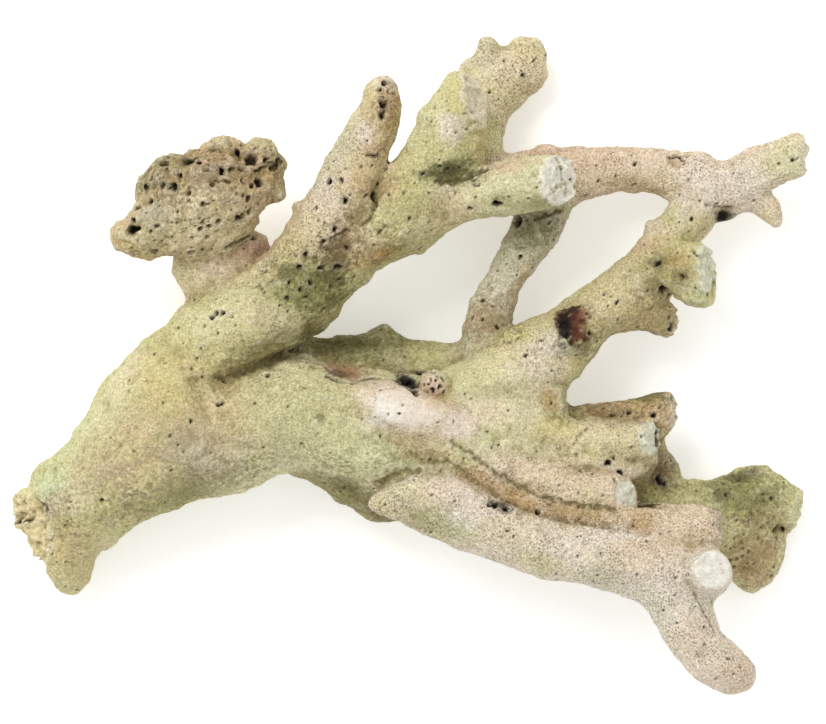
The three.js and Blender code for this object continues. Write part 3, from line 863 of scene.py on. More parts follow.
STAINS = (
    # broad drifts
    Stain(-60, -14, (22, 14), Tint.TAN, 0.4, 20, 3.0),
    Stain(-28, -20, (18, 16), Tint.OLIVE, 0.22, 0, 3.0),
    Stain(-24, 56, (12, 26), Tint.TAN, 0.75, -28, 3.0),
    Stain(62, 14, (24, 12), Tint.TAN, 0.45, 42, 3.0),
    Stain(36, 54, (16, 8), Tint.OLIVE, 0.35, 4, 3.0),
    Stain(10, 72, (10, 18), Tint.OLIVE, 0.22, -32, 3.0),
    Stain(-34, 22, (14, 14), Tint.OLIVE, 0.3, -20, 3.0),
    Stain(108, 56, (20, 12), Tint.LIME, 0.25, 0, 3.0),
    Stain(84, -74, (22, 14), Tint.LIME, 0.45, -35, 3.0),
    Stain(104, -96, (12, 10), Tint.PINK, 0.5, 0, 3.0),
    Stain(-62, 52, (24, 18), Tint.OCHRE, 0.15, 10, 3.0),
    Stain(-76, 64, (14, 4), Tint.OLIVE, 0.6, -20),
    Stain(-40, 60, (4, 9), Tint.OLIVE, 0.6),
    Stain(77, -14, (12, 7), Tint.OCHRE, 0.35, 4, 3.0),
    # torn base and trunk
    Stain(-122.5, -50.5, (7, 8), Tint.WARM_CREAM, 0.95),
    Stain(-116.5, -58, (5, 8), Tint.WARM_CREAM, 0.9, 20),
    Stain(-107, -62, (7, 13), Tint.TAN, 0.5),
    Stain(-108, -70, (4, 6), Tint.FILM, 0.4),
    Stain(-113, -46, (6, 4), Tint.LILAC, 0.45, 30),
    Stain(-115, -38, (8, 5.5), Tint.MINT, 0.9, 25),
    Stain(-107, -24, (6, 11), Tint.MINT, 0.55, -30),
    Stain(-98, -33, (10, 12), Tint.CREAM, 0.5),
    Stain(-92, -35, (7, 4), Tint.PINK, 0.4),
    Stain(-94, -12, (7, 14), Tint.PALE_FILM, 0.5, -35),
    Stain(-88, -3, (4, 9), Tint.LILAC, 0.45, -35),
    Stain(-78, -4, (13, 11), Tint.YELLOW_FILM, 0.6),
    Stain(-80, -33, (10, 6), Tint.TAN, 0.3, 20),
    # painted shade along the trunk's lower edge, partly olive film
    Stain(-70, -43, (18, 4), Tint.OLIVE, 0.55, 18),
    Stain(-68, -26, (11, 8), Tint.ASH, 0.7, 20),
    Stain(-60, -32, (9, 6), Tint.ASH, 0.45),
    Stain(-84, -22, (9, 12), Tint.TAN, 0.35, -30),
    Stain(-60, -17, (11, 10), Tint.TAN, 0.45),
    Stain(-58, -7, (5, 4), Tint.OCHRE, 0.25),
    # upper limb
    Stain(-60, 17, (12, 9), Tint.PALE_FILM, 0.75, 35),
    Stain(-63, 22, (6, 4), Tint.MOSS, 0.3, 35),
    Stain(-48, 14, (10, 8), Tint.CREAM, 0.6),
    Stain(-44, 5, (10, 4), Tint.OLIVE, 0.5, 20),
    Stain(-47, 28, (7, 6), Tint.CREAM, 0.5),
    Stain(-33, 24, (10, 8), Tint.MOSS, 0.6, -15),
    Stain(-31, 20, (5, 2.4), Tint.DEEP_MOSS, 0.5, -20, 7.0),
    Stain(-27, 28, (3, 4), Tint.DEEP_MOSS, 0.6, 0, 7.0),
    Stain(-37, 28, (3, 3), Tint.DARK_OLIVE, 0.6, 0, 7.0),
    Stain(-22, 31, (2.4, 4), Tint.UMBER, 0.6, -20, 7.0),
    Stain(-22, 20, (5, 1.6), Tint.DARK_OLIVE, 0.6, 40, 7.0),
    Stain(-26, 22, (7, 5), Tint.MOSS, 0.6),
    Stain(-23, 30, (4, 7), Tint.OLIVE, 0.6, -20),
    Stain(-21, 37, (4, 5), Tint.BROWN, 0.5, -30),
    # painted shade in the crotch under the upper limb
    Stain(-30, 9, (4, 7), Tint.DARK_OLIVE, 0.85),
    Stain(-24, 15, (4, 8), Tint.OLIVE, 0.55, -25),
    Stain(-12, 33, (5, 5), Tint.OCHRE, 0.5, 30),
    Stain(-8, 34, (5.5, 2.6), Tint.OCHRE, 0.85, 20),
    Stain(-7, 34.4, (2.6, 1.4), Tint.ORANGE, 0.7, 20),
    Stain(-13, 38, (6, 6), Tint.PINK, 0.45),
    Stain(-3, 57, (5, 9), Tint.YELLOW_FILM, 0.7),
    Stain(4, 52, (8, 8), Tint.FILM, 0.6),
    Stain(-5, 45, (8, 6), Tint.PALE_FILM, 0.5),
    Stain(-5.5, 62.5, (3, 3), Tint.PINK, 0.6),
    Stain(-7, 54, (4, 4), Tint.ROSE, 0.55),
    Stain(13, 47, (9, 5), Tint.TAN, 0.5, 15),
    Stain(12, 53, (6, 4), Tint.PINK, 0.4),
    # front tube
    Stain(5, 76, (6, 12), Tint.PALE_FILM, 0.75, -32),
    Stain(10, 68, (7, 6), Tint.FILM, 0.6),
    Stain(14, 61, (7, 3), Tint.DEEP_MOSS, 0.6, 10),
    Stain(15, 74, (4, 5), Tint.LILAC, 0.9, 0, 7.0),
    Stain(12, 60, (7, 2), Tint.UMBER, 0.7, 8, 7.0),
    Stain(20, 77, (4, 8), Tint.OLIVE, 0.55, -25),
    Stain(16, 83, (4, 5), Tint.YELLOW_FILM, 0.5),
    # finger
    Stain(-22, 66, (6, 14), Tint.GREY_GREEN, 0.7, -32),
    Stain(-27, 51, (8, 9), Tint.LILAC, 0.6, -32),
    Stain(-31, 43, (6, 6), Tint.CREAM, 0.6),
    Stain(-13, 73, (3, 4), Tint.LILAC, 0.8),
    Stain(-12, 60, (4, 9), Tint.TAN, 0.6, -20),
    Stain(-11, 80, (4, 5), Tint.OCHRE, 0.4),
    # partly painted shade on the finger's side turned from the light, partly ochre colour
    Stain(-5, 77, (2.5, 8), Tint.OCHRE, 0.75, -15),
    Stain(-5, 84, (4, 4), Tint.TAN, 0.6),
    Stain(-7, 89.5, (4, 3), Tint.LILAC, 0.5),
    # upper fork
    Stain(26, 72, (3.5, 9), Tint.FILM, 0.6),
    Stain(24, 69, (3, 6), Tint.OCHRE, 0.45),
    Stain(26, 98, (5, 8), Tint.GREY_GREEN, 0.6),
    Stain(36, 96, (8, 7), Tint.PINK, 0.7),
    Stain(30, 86, (7, 7), Tint.CREAM, 0.7),
    Stain(40, 100, (5, 4), Tint.WARM_CREAM, 0.6),
    # stub arm and arch
    Stain(32, 56, (9, 7), Tint.PALE_FILM, 0.75),
    Stain(30, 51, (4, 3), Tint.OLIVE, 0.5),
    # painted shade in the crevice under the stub arm, partly olive film
    Stain(44, 51, (8, 2.2), Tint.OLIVE, 0.7, 6),
    Stain(31, 62, (8, 2.5), Tint.ROSE, 0.6, 8),
    Stain(43, 67, (6, 3), Tint.ROSE, 0.6),
    Stain(60, 61, (9, 8), Tint.PINK, 0.8),
    Stain(60, 66, (16, 4), Tint.ROSE, 0.4),
    Stain(75, 63, (10, 7), Tint.PINK, 0.8),
    Stain(76, 57, (12, 2.5), Tint.TAN, 0.5),
    Stain(97, 57, (12, 9), Tint.LILAC, 0.85),
    Stain(110, 57, (8, 7), Tint.LILAC, 0.75),
    Stain(122, 65, (7, 8), Tint.PALE_FILM, 0.8),
    Stain(117, 50, (4, 5), Tint.WARM_CREAM, 0.5),
    # painted shade in the hole
    Stain(102, 46.5, (3.6, 2.4), Tint.UMBER, 0.95, 15, 9.0, 0.9),
    Stain(86.2, 64.8, (2.6, 2.4), Tint.ROSE, 0.7, 0, 9.0, 0.9),
    Stain(95, 44, (5, 4), Tint.TAN, 0.5),
    # strut
    Stain(42, 41.5, (5, 1.1), Tint.PALE_FILM, 0.95, -66, 9.0, 0.6),
    Stain(33.4, 8.5, (3, 1.6), Tint.YELLOW_FILM, 0.8, 0, 8.0),
    # painted shadow cast by the stub arm, partly olive film
    Stain(44, 46, (7, 5), Tint.DARK_OLIVE, 0.7),
    Stain(41, 40, (6, 5), Tint.OLIVE, 0.6),
    Stain(30, 31, (6, 7), Tint.GREY_GREEN, 0.7),
    Stain(36, 24, (3, 9), Tint.TAN, 0.5, -25),
    Stain(24, 14, (7, 7), Tint.OCHRE, 0.45),
    Stain(19, 22, (3, 6), Tint.FILM, 0.5, -20),
    # right limb
    Stain(55, 4, (5, 3.5), Tint.OLIVE, 0.75),
    Stain(47, 6, (6, 5), Tint.LILAC, 0.7),
    Stain(66, 22, (9, 7), Tint.CREAM, 0.5),
    Stain(78, 38, (6, 6), Tint.ROSE, 0.45),
    Stain(79, 43, (4, 4), Tint.LILAC, 0.5),
    Stain(78, 27, (7, 5), Tint.OLIVE, 0.4),
    Stain(79, 17, (7, 5), Tint.TAN, 0.5),
    # painted shade in the knuckle's cavities
    Stain(80, 32, (3, 3), Tint.DARK_OLIVE, 0.7),
    Stain(87, 27, (3, 2), Tint.DARK_OLIVE, 0.6),
    Stain(86, 33, (5, 4), Tint.OCHRE, 0.5),
    Stain(93, 21, (5, 3), Tint.MINT, 0.6),
    Stain(83, 13, (3, 4), Tint.OLIVE, 0.5),
    # body
    Stain(-38, -15, (12, 11), Tint.PALE_FILM, 0.7),
    Stain(-27.4, -17.6, (1.9, 1.3), Tint.UMBER, 0.8, 0, 8.0),
    Stain(-24, -30, (12, 9), Tint.PALE_FILM, 0.8, -25),
    Stain(-10, -30, (10, 7), Tint.MINT, 0.5, -25),
    Stain(-8, -24, (6, 2.4), Tint.OLIVE, 0.35),
    Stain(-19, -3.0, (8, 3.2), Tint.RUST, 0.85, -8),
    Stain(-1, -14, (13.5, 7), Tint.LILAC, 0.95, -14, 10.0, 0.85),
    Stain(-7, -16.5, (6, 4.5), Tint.FRESH, 0.6, -20, 6.0, 0.5),
    Stain(16, -19, (6.5, 5.5), Tint.LILAC, 0.9, -20, 6.0, 0.6),
    Stain(3, -26, (9, 3), Tint.TAN, 0.4, -10),
    Stain(9, -11.5, (7, 3), Tint.TAN, 0.6, -20),
    Stain(8.4, -7.2, (4.8, 4.4), Tint.ROSE, 0.7, 0, 7.0),
    # painted shade in the cave
    Stain(0.4, -6.6, (5, 3), Tint.UMBER, 0.95, -40, 8.0),
    Stain(6, 0, (8, 4), Tint.FILM, 0.6),
    Stain(20, -4, (7, 5), Tint.FILM, 0.4),
    Stain(28, -9, (14, 2.5), Tint.OLIVE, 0.4, 8),
    Stain(26, -17, (10, 5), Tint.PINK, 0.5),
    Stain(33, 2, (8, 6), Tint.WARM_CREAM, 0.4),
    Stain(42, -1, (9, 6), Tint.LILAC, 0.6),
    Stain(45, -13, (3, 4), Tint.OCHRE, 0.75, 35),
    Stain(47, -21, (7, 4), Tint.YELLOW_FILM, 0.9),
    Stain(5, -30, (9, 2.4), Tint.OCHRE, 0.35, -5),
    Stain(24, -38, (8, 3), Tint.OCHRE, 0.7, -40),
    Stain(36, -44, (9, 3), Tint.OCHRE, 0.75, -25),
    Stain(52, -48, (10, 3), Tint.OCHRE, 0.6, -8),
    # painted shade in the holes
    Stain(29, -45.6, (3.2, 1.6), Tint.UMBER, 0.8, -20),
    # short branches and web
    Stain(54, -16, (9, 3), Tint.OLIVE, 0.6),
    Stain(61, -17, (3.5, 3.5), Tint.OCHRE, 0.6),
    Stain(75, -14, (9, 5), Tint.TAN, 0.5),
    Stain(77, -10.5, (9, 1.6), Tint.UMBER, 0.45, 5),
    Stain(65, -24, (11, 5), Tint.CREAM, 0.6),
    Stain(55, -38, (12, 4), Tint.PINK, 0.55),
    Stain(66, -32.5, (12, 2.5), Tint.OLIVE, 0.3),
    Stain(78, -42, (7, 4), Tint.MOSS, 0.7),
    Stain(81, -35, (3.6, 4.6), Tint.BROWN, 0.7),
    Stain(81, -37.5, (2.4, 2.4), Tint.UMBER, 0.7),
    Stain(82, -28, (2.5, 6), Tint.TAN, 0.6),
    # ridge branch
    Stain(88, -52, (11, 7), Tint.PINK, 0.8),
    Stain(74.5, -50, (4, 5), Tint.OCHRE, 0.65),
    Stain(60, -48.5, (9, 3), Tint.TAN, 0.5),
    Stain(80, -58, (14, 2), Tint.TAN, 0.5),
    # low arm
    Stain(-8, -45, (5, 4.5), Tint.YELLOW_FILM, 0.6),
    Stain(0, -40, (6, 4), Tint.PALE_FILM, 0.7),
    Stain(10, -43, (9, 6), Tint.PINK, 0.6),
    Stain(20, -45, (8, 5), Tint.LILAC, 0.5),
    Stain(12, -52, (8, 4), Tint.MINT, 0.6, -25),
    Stain(16, -50, (5, 3), Tint.FRESH, 0.5, -25),
    Stain(2, -50, (5, 2.5), Tint.OLIVE, 0.5),
    Stain(32, -54, (10, 6), Tint.CREAM, 0.6),
    Stain(44, -64, (10, 4), Tint.FILM, 0.5, -15),
    Stain(56, -60, (8, 6), Tint.LILAC, 0.4),
    Stain(63, -67, (7, 8), Tint.GREY_GREEN, 0.8),
    Stain(74, -62, (12, 6), Tint.PINK, 0.8),
    Stain(84, -72, (7, 8), Tint.LILAC, 0.7),
    Stain(78, -78, (6, 7), Tint.GREY_GREEN, 0.6, -40),
    Stain(91, -86, (7, 8), Tint.PINK, 0.6),
    Stain(107, -99, (6, 5), Tint.ROSE, 0.3),
    Stain(100, -74, (4, 6), Tint.GREY_GREEN, 0.7),
    # fan
    Stain(106, -39, (12, 4.5), Tint.MOSS, 0.5),
    Stain(109, -37, (6, 2), Tint.UMBER, 0.6, 15, 7.0),
    Stain(101, -43, (3, 2.4), Tint.UMBER, 0.6, 0, 7.0),
    Stain(109, -47, (7, 5), Tint.OLIVE, 0.5),
    Stain(117, -44, (4, 3), Tint.DARK_OLIVE, 0.5),
    Stain(112, -69, (8, 3), Tint.ROSE, 0.4, -15),
    Stain(110, -66, (2.4, 1.2), Tint.BROWN, 0.6, 20, 7.0),
    Stain(116, -61, (2, 1), Tint.BROWN, 0.6, -20, 7.0),
    Stain(120, -38, (6, 4), Tint.FILM, 0.5),
    Stain(100, -52, (4, 9), Tint.DARK_OLIVE, 0.5),
    Stain(113, -65, (9, 8), Tint.TAN, 0.8),
    Stain(117, -52, (6, 5), Tint.BROWN, 0.4),
    Stain(126.5, -47, (2.6, 7), Tint.PALE_FILM, 0.9, -15),
    Stain(119, -67, (4, 5), Tint.FILM, 0.5),
    # back limb and keel
    # painted shade on the edge that curves away from the light
    Stain(-21, 5.4, (9, 3), Tint.DARK_OLIVE, 0.8, 8),
    Stain(-7, 8, (7, 4), Tint.OLIVE, 0.5),
    Stain(8, 4, (8, 3), Tint.FILM, 0.5),
    Stain(-17, -43, (10, 4), Tint.DARK_OLIVE, 0.5, -30),
    # painted shade along the keel's lower edge, partly olive film
    Stain(-7, -50, (5, 2.5), Tint.DARK_OLIVE, 0.6),
    # collar and pitted head
    Stain(-60, 30, (8, 6), Tint.PINK, 0.6),
    Stain(-48, 37, (6, 5), Tint.ROSE, 0.9),
    Stain(-71, 28, (4, 7), Tint.FILM, 0.7),
    Stain(-68, 50, (10, 6), Tint.PINK, 0.5),
    Stain(-78, 46, (5, 3.4), Tint.FRESH, 0.75),
    Stain(-60, 53, (10, 6), Tint.TAN, 0.5),
    # painted shadow cast by the pitted head on the collar
    Stain(-60, 38, (14, 4), Tint.OLIVE, 0.55, 14),
    Stain(-86, 38, (7, 5), Tint.YELLOW_FILM, 0.6),
    Stain(-86, 56, (5, 8), Tint.FILM, 0.7, -30),
    Stain(-60, 69, (5, 3), Tint.FILM, 0.7),
    Stain(-46, 69, (6, 3), Tint.FILM, 0.7),
    Stain(-74, 40, (12, 5), Tint.CREAM, 0.5, 10),
    Stain(-58, 44, (9, 6), Tint.CREAM, 0.5, 20),
    Stain(-66, 46, (17, 8), Tint.CREAM, 0.7, 6),
    Stain(-79, 60, (8, 6), Tint.OLIVE, 0.35),
    Stain(-62, 64, (10, 5), Tint.OCHRE, 0.5),
    Stain(-46, 62, (7, 6), Tint.OCHRE, 0.4),
    Stain(-49.5, 64.5, (3, 3), Tint.ROSE, 0.6),
)

# what has grown on the skeleton since it died: dark turf, and a dark red sponge crust; among them also
# painted shade in the cave, in holes and along shaded edges
CRUSTS = (
    # dark turf, in flecks
    Stain(-30, 24, (12, 9), Tint.DEEP_MOSS, 0.5, -20, 6.0, 0.0, 2.6),
    Stain(-22, 33, (5, 9), Tint.UMBER, 0.5, -25, 7.0, 0.0, 3.0),
    Stain(-16, 44, (5, 10), Tint.BROWN, 0.45, -30, 7.0, 0.0, 3.2),
    Stain(-8, 36, (8, 5), Tint.BROWN, 0.5, 20, 7.0, 0.0, 3.2),
    Stain(-6, 80, (4, 9), Tint.BROWN, 0.5, -10, 7.0, 0.0, 3.2),
    Stain(14, 60, (9, 3.5), Tint.DEEP_MOSS, 0.75, 8, 7.0, 0.0, 2.2),
    Stain(-1, 46, (10, 9), Tint.OLIVE, 0.5, 20, 6.0, 0.0, 3.0),
    Stain(-62, 61, (22, 7), Tint.UMBER, 0.42, 4, 7.0, 0.0, 3.2),
    Stain(-50, 52, (12, 8), Tint.BROWN, 0.25, 20, 7.0, 0.0, 3.2),
    Stain(-80, 46, (8, 14), Tint.DARK_OLIVE, 0.35, 0, 7.0, 0.0, 3.2),
    Stain(-46, 3, (16, 5), Tint.DARK_OLIVE, 0.5, 28, 6.0, 0.0, 2.8),
    Stain(-96, -36, (9, 8), Tint.BROWN, 0.35, 20, 7.0, 0.0, 3.4),
    Stain(-112, -48, (5, 5), Tint.BROWN, 0.5, 0, 7.0, 0.0, 3.0),
    # painted shade along the trunk's lower edge, partly turf
    Stain(-74, -42, (24, 5), Tint.DARK_OLIVE, 0.45, 20, 6.0, 0.0, 2.8),
    Stain(-90, 2, (10, 14), Tint.OLIVE, 0.4, -35, 6.0, 0.0, 3.0),
    Stain(-38, -20, (16, 14), Tint.OLIVE, 0.4, 0, 6.0, 0.0, 3.0),
    Stain(-20, -38, (12, 5), Tint.DARK_OLIVE, 0.5, -25, 6.0, 0.0, 2.6),
    # partly painted shade on the edge that curves away from the light, partly turf
    Stain(-14, 7, (18, 5), Tint.DEEP_MOSS, 0.55, 4, 6.0, 0.0, 2.4),
    Stain(2, -31, (12, 3), Tint.DARK_OLIVE, 0.4, -6, 7.0, 0.0, 3.0),
    Stain(24, -38, (12, 2.6), Tint.BROWN, 0.35, -38, 7.0, 0.0, 2.8),
    Stain(50, -48, (18, 2.6), Tint.BROWN, 0.3, -12, 7.0, 0.0, 2.8),
    Stain(26, 14, (9, 7), Tint.BROWN, 0.5, 0, 7.0, 0.0, 3.0),
    Stain(40, 42, (7, 6), Tint.DEEP_MOSS, 0.4, 0, 6.0, 0.0, 2.4),
    Stain(56, 6, (9, 4), Tint.DEEP_MOSS, 0.55, 20, 6.0, 0.0, 2.4),
    Stain(82, 28, (8, 7), Tint.DARK_OLIVE, 0.28, 0, 7.0, 0.0, 2.8),
    Stain(80, 14, (8, 6), Tint.DARK_OLIVE, 0.35, 0, 7.0, 0.0, 2.8),
    Stain(64, -16, (12, 3), Tint.UMBER, 0.5, 0, 8.0, 0.0, 3.2),
    Stain(78, -11, (9, 2.4), Tint.DEEP_MOSS, 0.7, 4, 7.0, 0.0, 2.2),
    Stain(81, -34, (5, 8), Tint.UMBER, 0.45, 0, 7.0, 0.0, 2.2),
    Stain(108, -42, (14, 8), Tint.DEEP_MOSS, 0.45, 0, 6.0, 0.0, 2.4),
    Stain(112, -62, (9, 8), Tint.BROWN, 0.45, 0, 7.0, 0.0, 3.0),
    Stain(6, -49, (12, 5), Tint.OLIVE, 0.5, -20, 6.0, 0.0, 2.6),
    # painted shade in the holes, not turf
    Stain(30, -45.6, (4, 1.8), Tint.BLACK, 0.7, -20, 8.0, 0.0, 1.6),
    # deep shade in the cave
    Stain(0.4, -6.2, (4.6, 2.2), Tint.BLACK, 0.96, -40, 9.0, 0.9, 0.8, 3.0),
    Stain(4.4, -3.8, (3.4, 0.9), Tint.BLACK, 0.85, -8, 9.0, 0.9, 0.8, 3.0),
    Stain(-22, -3.6, (4, 1.2), Tint.UMBER, 0.6, -8, 8.0, 0.0, 1.6, 2.0),
    # sponge
    Stain(53.2, 12.2, (5.4, 6.6), Tint.SPONGE, 0.97, 30, 11.0, 0.9),
    Stain(50.4, 11.2, (2.8, 5.8), Tint.BLACK, 0.93, -10, 9.0),
    Stain(52.6, 16.4, (2.4, 1.2), Tint.BLACK, 0.8, 20, 9.0),
    Stain(56.2, 15.2, (1.6, 2.0), Tint.RUST, 0.4, 0, 7.0),
    Stain(55.4, 11.4, (1.4, 1.2), Tint.RUST, 0.3, 0, 7.0),
)


# branches whose core is slimmed or moved before fusing: overlap and shift, in mm
CORE_TRIMS: dict[str, tuple[float, Triple]] = {
    "arm_stub": (-0.7, (-1.3, 1.3, 0.0)),
}


@dataclass
class Skeleton:
    """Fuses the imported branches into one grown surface."""

    nodes: dict[str, bpy.types.Object]
    joint_overlap: float = 0.35  # mm
    coarse_voxel: float = 0.9  # mm
    fine_voxel: float = 0.52  # mm
    quick_voxel: float = 0.75  # mm
    blend_rounds: int = 13
    crisp_rounds: int = 4
    regain: float = 0.34  # mm that the blurred skin is let out again
    crisp_regain: float = 0.4  # share of that where the skin is crisp

    def cores(self) -> bmesh.types.BMesh:
        """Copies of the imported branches, swollen so that neighbours overlap, with knobs and stumps."""
        whole = bmesh.new()
        for name, node in self.nodes.items():
            overlap, shift = CORE_TRIMS.get(name, (self.joint_overlap, (0.0, 0.0, 0.0)))
            part = bmesh.new()
            part.from_mesh(node.data)
            bmesh.ops.remove_doubles(part, verts=part.verts, dist=1e-6)
            bmesh.ops.scale(part, vec=(1 / MM,) * 3, verts=part.verts)
            part.normal_update()
            for vert in part.verts:
                vert.co += vert.normal * overlap + Vector(shift)
            mesh = bpy.data.meshes.new("core")
            part.to_mesh(mesh)
            part.free()
            whole.from_mesh(mesh)
            bpy.data.meshes.remove(mesh)
        for knob in KNOBS:
            bmesh.ops.create_icosphere(whole, subdivisions=3, radius=1.0, matrix=knob.matrix())
        for end in BROKEN_ENDS:
            bmesh.ops.create_cone(
                whole, cap_ends=True, segments=24, radius1=1, radius2=1, depth=1, matrix=end.stump()
            )
        return whole

    def fused(self) -> Skin:
        """One closed surface round all the branches, with soft fillets at the forks."""
        whole = self.cores()
        mesh = bpy.data.meshes.new("cores")
        whole.to_mesh(mesh)
        whole.free()
        mesh = evaluated(mesh, "REMESH", {"mode": "VOXEL", "voxel_size": self.coarse_voxel})
        skin = Skin.from_mesh(mesh).outer_shell()
        bpy.data.meshes.remove(mesh)
        crisp = skin.blurred(skin.verts, self.crisp_rounds)
        share = np.max([zone.share(crisp) for zone in CRISP_ZONES], axis=0)[:, None]
        soft = skin.blurred(crisp, self.blend_rounds - self.crisp_rounds)
        skin.verts = soft + (crisp - soft) * share
        skin.verts += skin.normals() * self.regain * (1 - (1 - self.crisp_regain) * share)
        return skin

    def refined(self, skin: Skin) -> Skin:
        """The sculpted surface again, in even fine faces."""
        settings = {"mode": "VOXEL", "voxel_size": self.fine_voxel}
        mesh = evaluated(skin.to_mesh("sculpted"), "REMESH", settings)
        return Skin.from_mesh(mesh).outer_shell()


@dataclass
class Sculptor:
    """Presses the named forms into a surface."""

    skin: Skin
    ground: float = 0.0
    wander: float = 0.35  # mm that the edges of holes and creases wander
    far: float = 9.0  # radii past which a hole has no effect

    def snap_ends(self) -> None:
        """Cuts the carried-on branches back to their rough breaks."""
        for end in BROKEN_ENDS:
            over = np.maximum(end.height(self.skin.verts), 0.0)
            self.skin.verts -= over[:, None] * end.frame()[1]

    def swell(self) -> None:
        """Raises and hollows the broad forms."""
        surface = Surface(self.skin)
        normals = self.skin.normals()
        move = np.zeros(len(self.skin.verts))
        for form in SWELLS:
            landed = surface.below(form.x, form.y)
            if landed is None:
                continue
            away = self.skin.verts - landed[0]
            along, across = turned(away, form.turn)
            deep = away[:, 2] / max(form.radii)
            reach = (along / form.radii[0]) ** 2 + (across / form.radii[1]) ** 2 + deep**2
            move += form.height * np.exp(-reach)
        self.skin.verts += normals * move[:, None]

    def bite(self) -> None:
        """Presses in the notches from the side."""
        verts = self.skin.verts
        for notch in BITES:
            along = (verts[:, 0] - notch.x) / notch.radii[0]
            across = (verts[:, 1] - notch.y) / notch.radii[1]
            verts[:, :2] += np.exp(-(along**2) - across**2)[:, None] * np.array(notch.push)

    def flatten_rests(self) -> None:
        """Keeps the surface on or above the ground that it rests on."""
        self.skin.verts[:, 2] = np.maximum(self.skin.verts[:, 2], self.ground)

    def bore(self, surface: Surface) -> np.ndarray:
        """Sinks the grooves and holes.

        Args:
            surface: The skin's own search tree.

        Returns:
            How dark each vertex is with dirt and shade, from 0 to 1.
        """
        verts = self.skin.verts
        wobble = np.stack([ripple_noise(verts, 3.0, seed) for seed in (31, 32, 33)], axis=1)
        looked = verts + self.wander * wobble
        normals = self.skin.normals()
        move = np.zeros_like(verts)
        shade_and_grime = np.zeros(len(verts))
        for groove in GROOVES:
            places = [surface.below(*point) for point in spread_line(groove.line, 0.8)]
            spots = [place[0] for place in places if place is not None]
            if not spots:
                continue
            nearest = np.full(len(verts), 1e9)
            low, high = np.min(spots, axis=0) - 8, np.max(spots, axis=0) + 8
            inside = np.flatnonzero(((looked > low) & (looked < high)).all(axis=1))
            for spot in spots:
                gap = np.linalg.norm(looked[inside] - spot, axis=1)
                nearest[inside] = np.minimum(nearest[inside], gap)
            depth = np.exp(-((nearest / groove.width) ** 2))
            move -= normals * (groove.depth * depth)[:, None]
            # painted shade and dirt along the crease
            shade_and_grime = np.maximum(shade_and_grime, groove.shade_and_grime * np.exp(-((nearest / (groove.width * 1.15)) ** 2)))
        for hole in HOLES:
            landed = surface.below(hole.x, hole.y)
            if landed is None:
                continue
            gap = np.linalg.norm(looked - landed[0], axis=1) / hole.radius
            gap = np.minimum(gap, self.far)
            depth = 1 / (1 + gap**6)
            move -= (hole.depth * depth)[:, None] * landed[1]
            rim = 1 / (1 + (gap / 1.05) ** 7)
            # painted shade and dirt inside the hole
            shade_and_grime = np.maximum(shade_and_grime, hole.shade_and_grime * rim)
        self.skin.verts = verts + move
        return shade_and_grime


def spread_line(line: Sequence[Point], step: float) -> list[Point]:
    """Points at an even step along a bent line.

    Args:
        line: Corners of the line.
        step: Distance between points.

    Returns:
        The points, ends included.
    """
    points: list[Point] = [line[0]]
    for (x0, y0), (x1, y1) in zip(line, line[1:]):
        count = max(1, round(math.hypot(x1 - x0, y1 - y0) / step))
        points += [(x0 + (x1 - x0) * i / count, y0 + (y1 - y0) * i / count) for i in range(1, count + 1)]
    return points


@dataclass(frozen=True)
class PitRun:
    """One scattering of pits: the attribute that thins them, and their sizes in mm."""

    name: str
    density: str
    spacing: float
    radius: float
    smallest: float
    depth: float
    seed: int


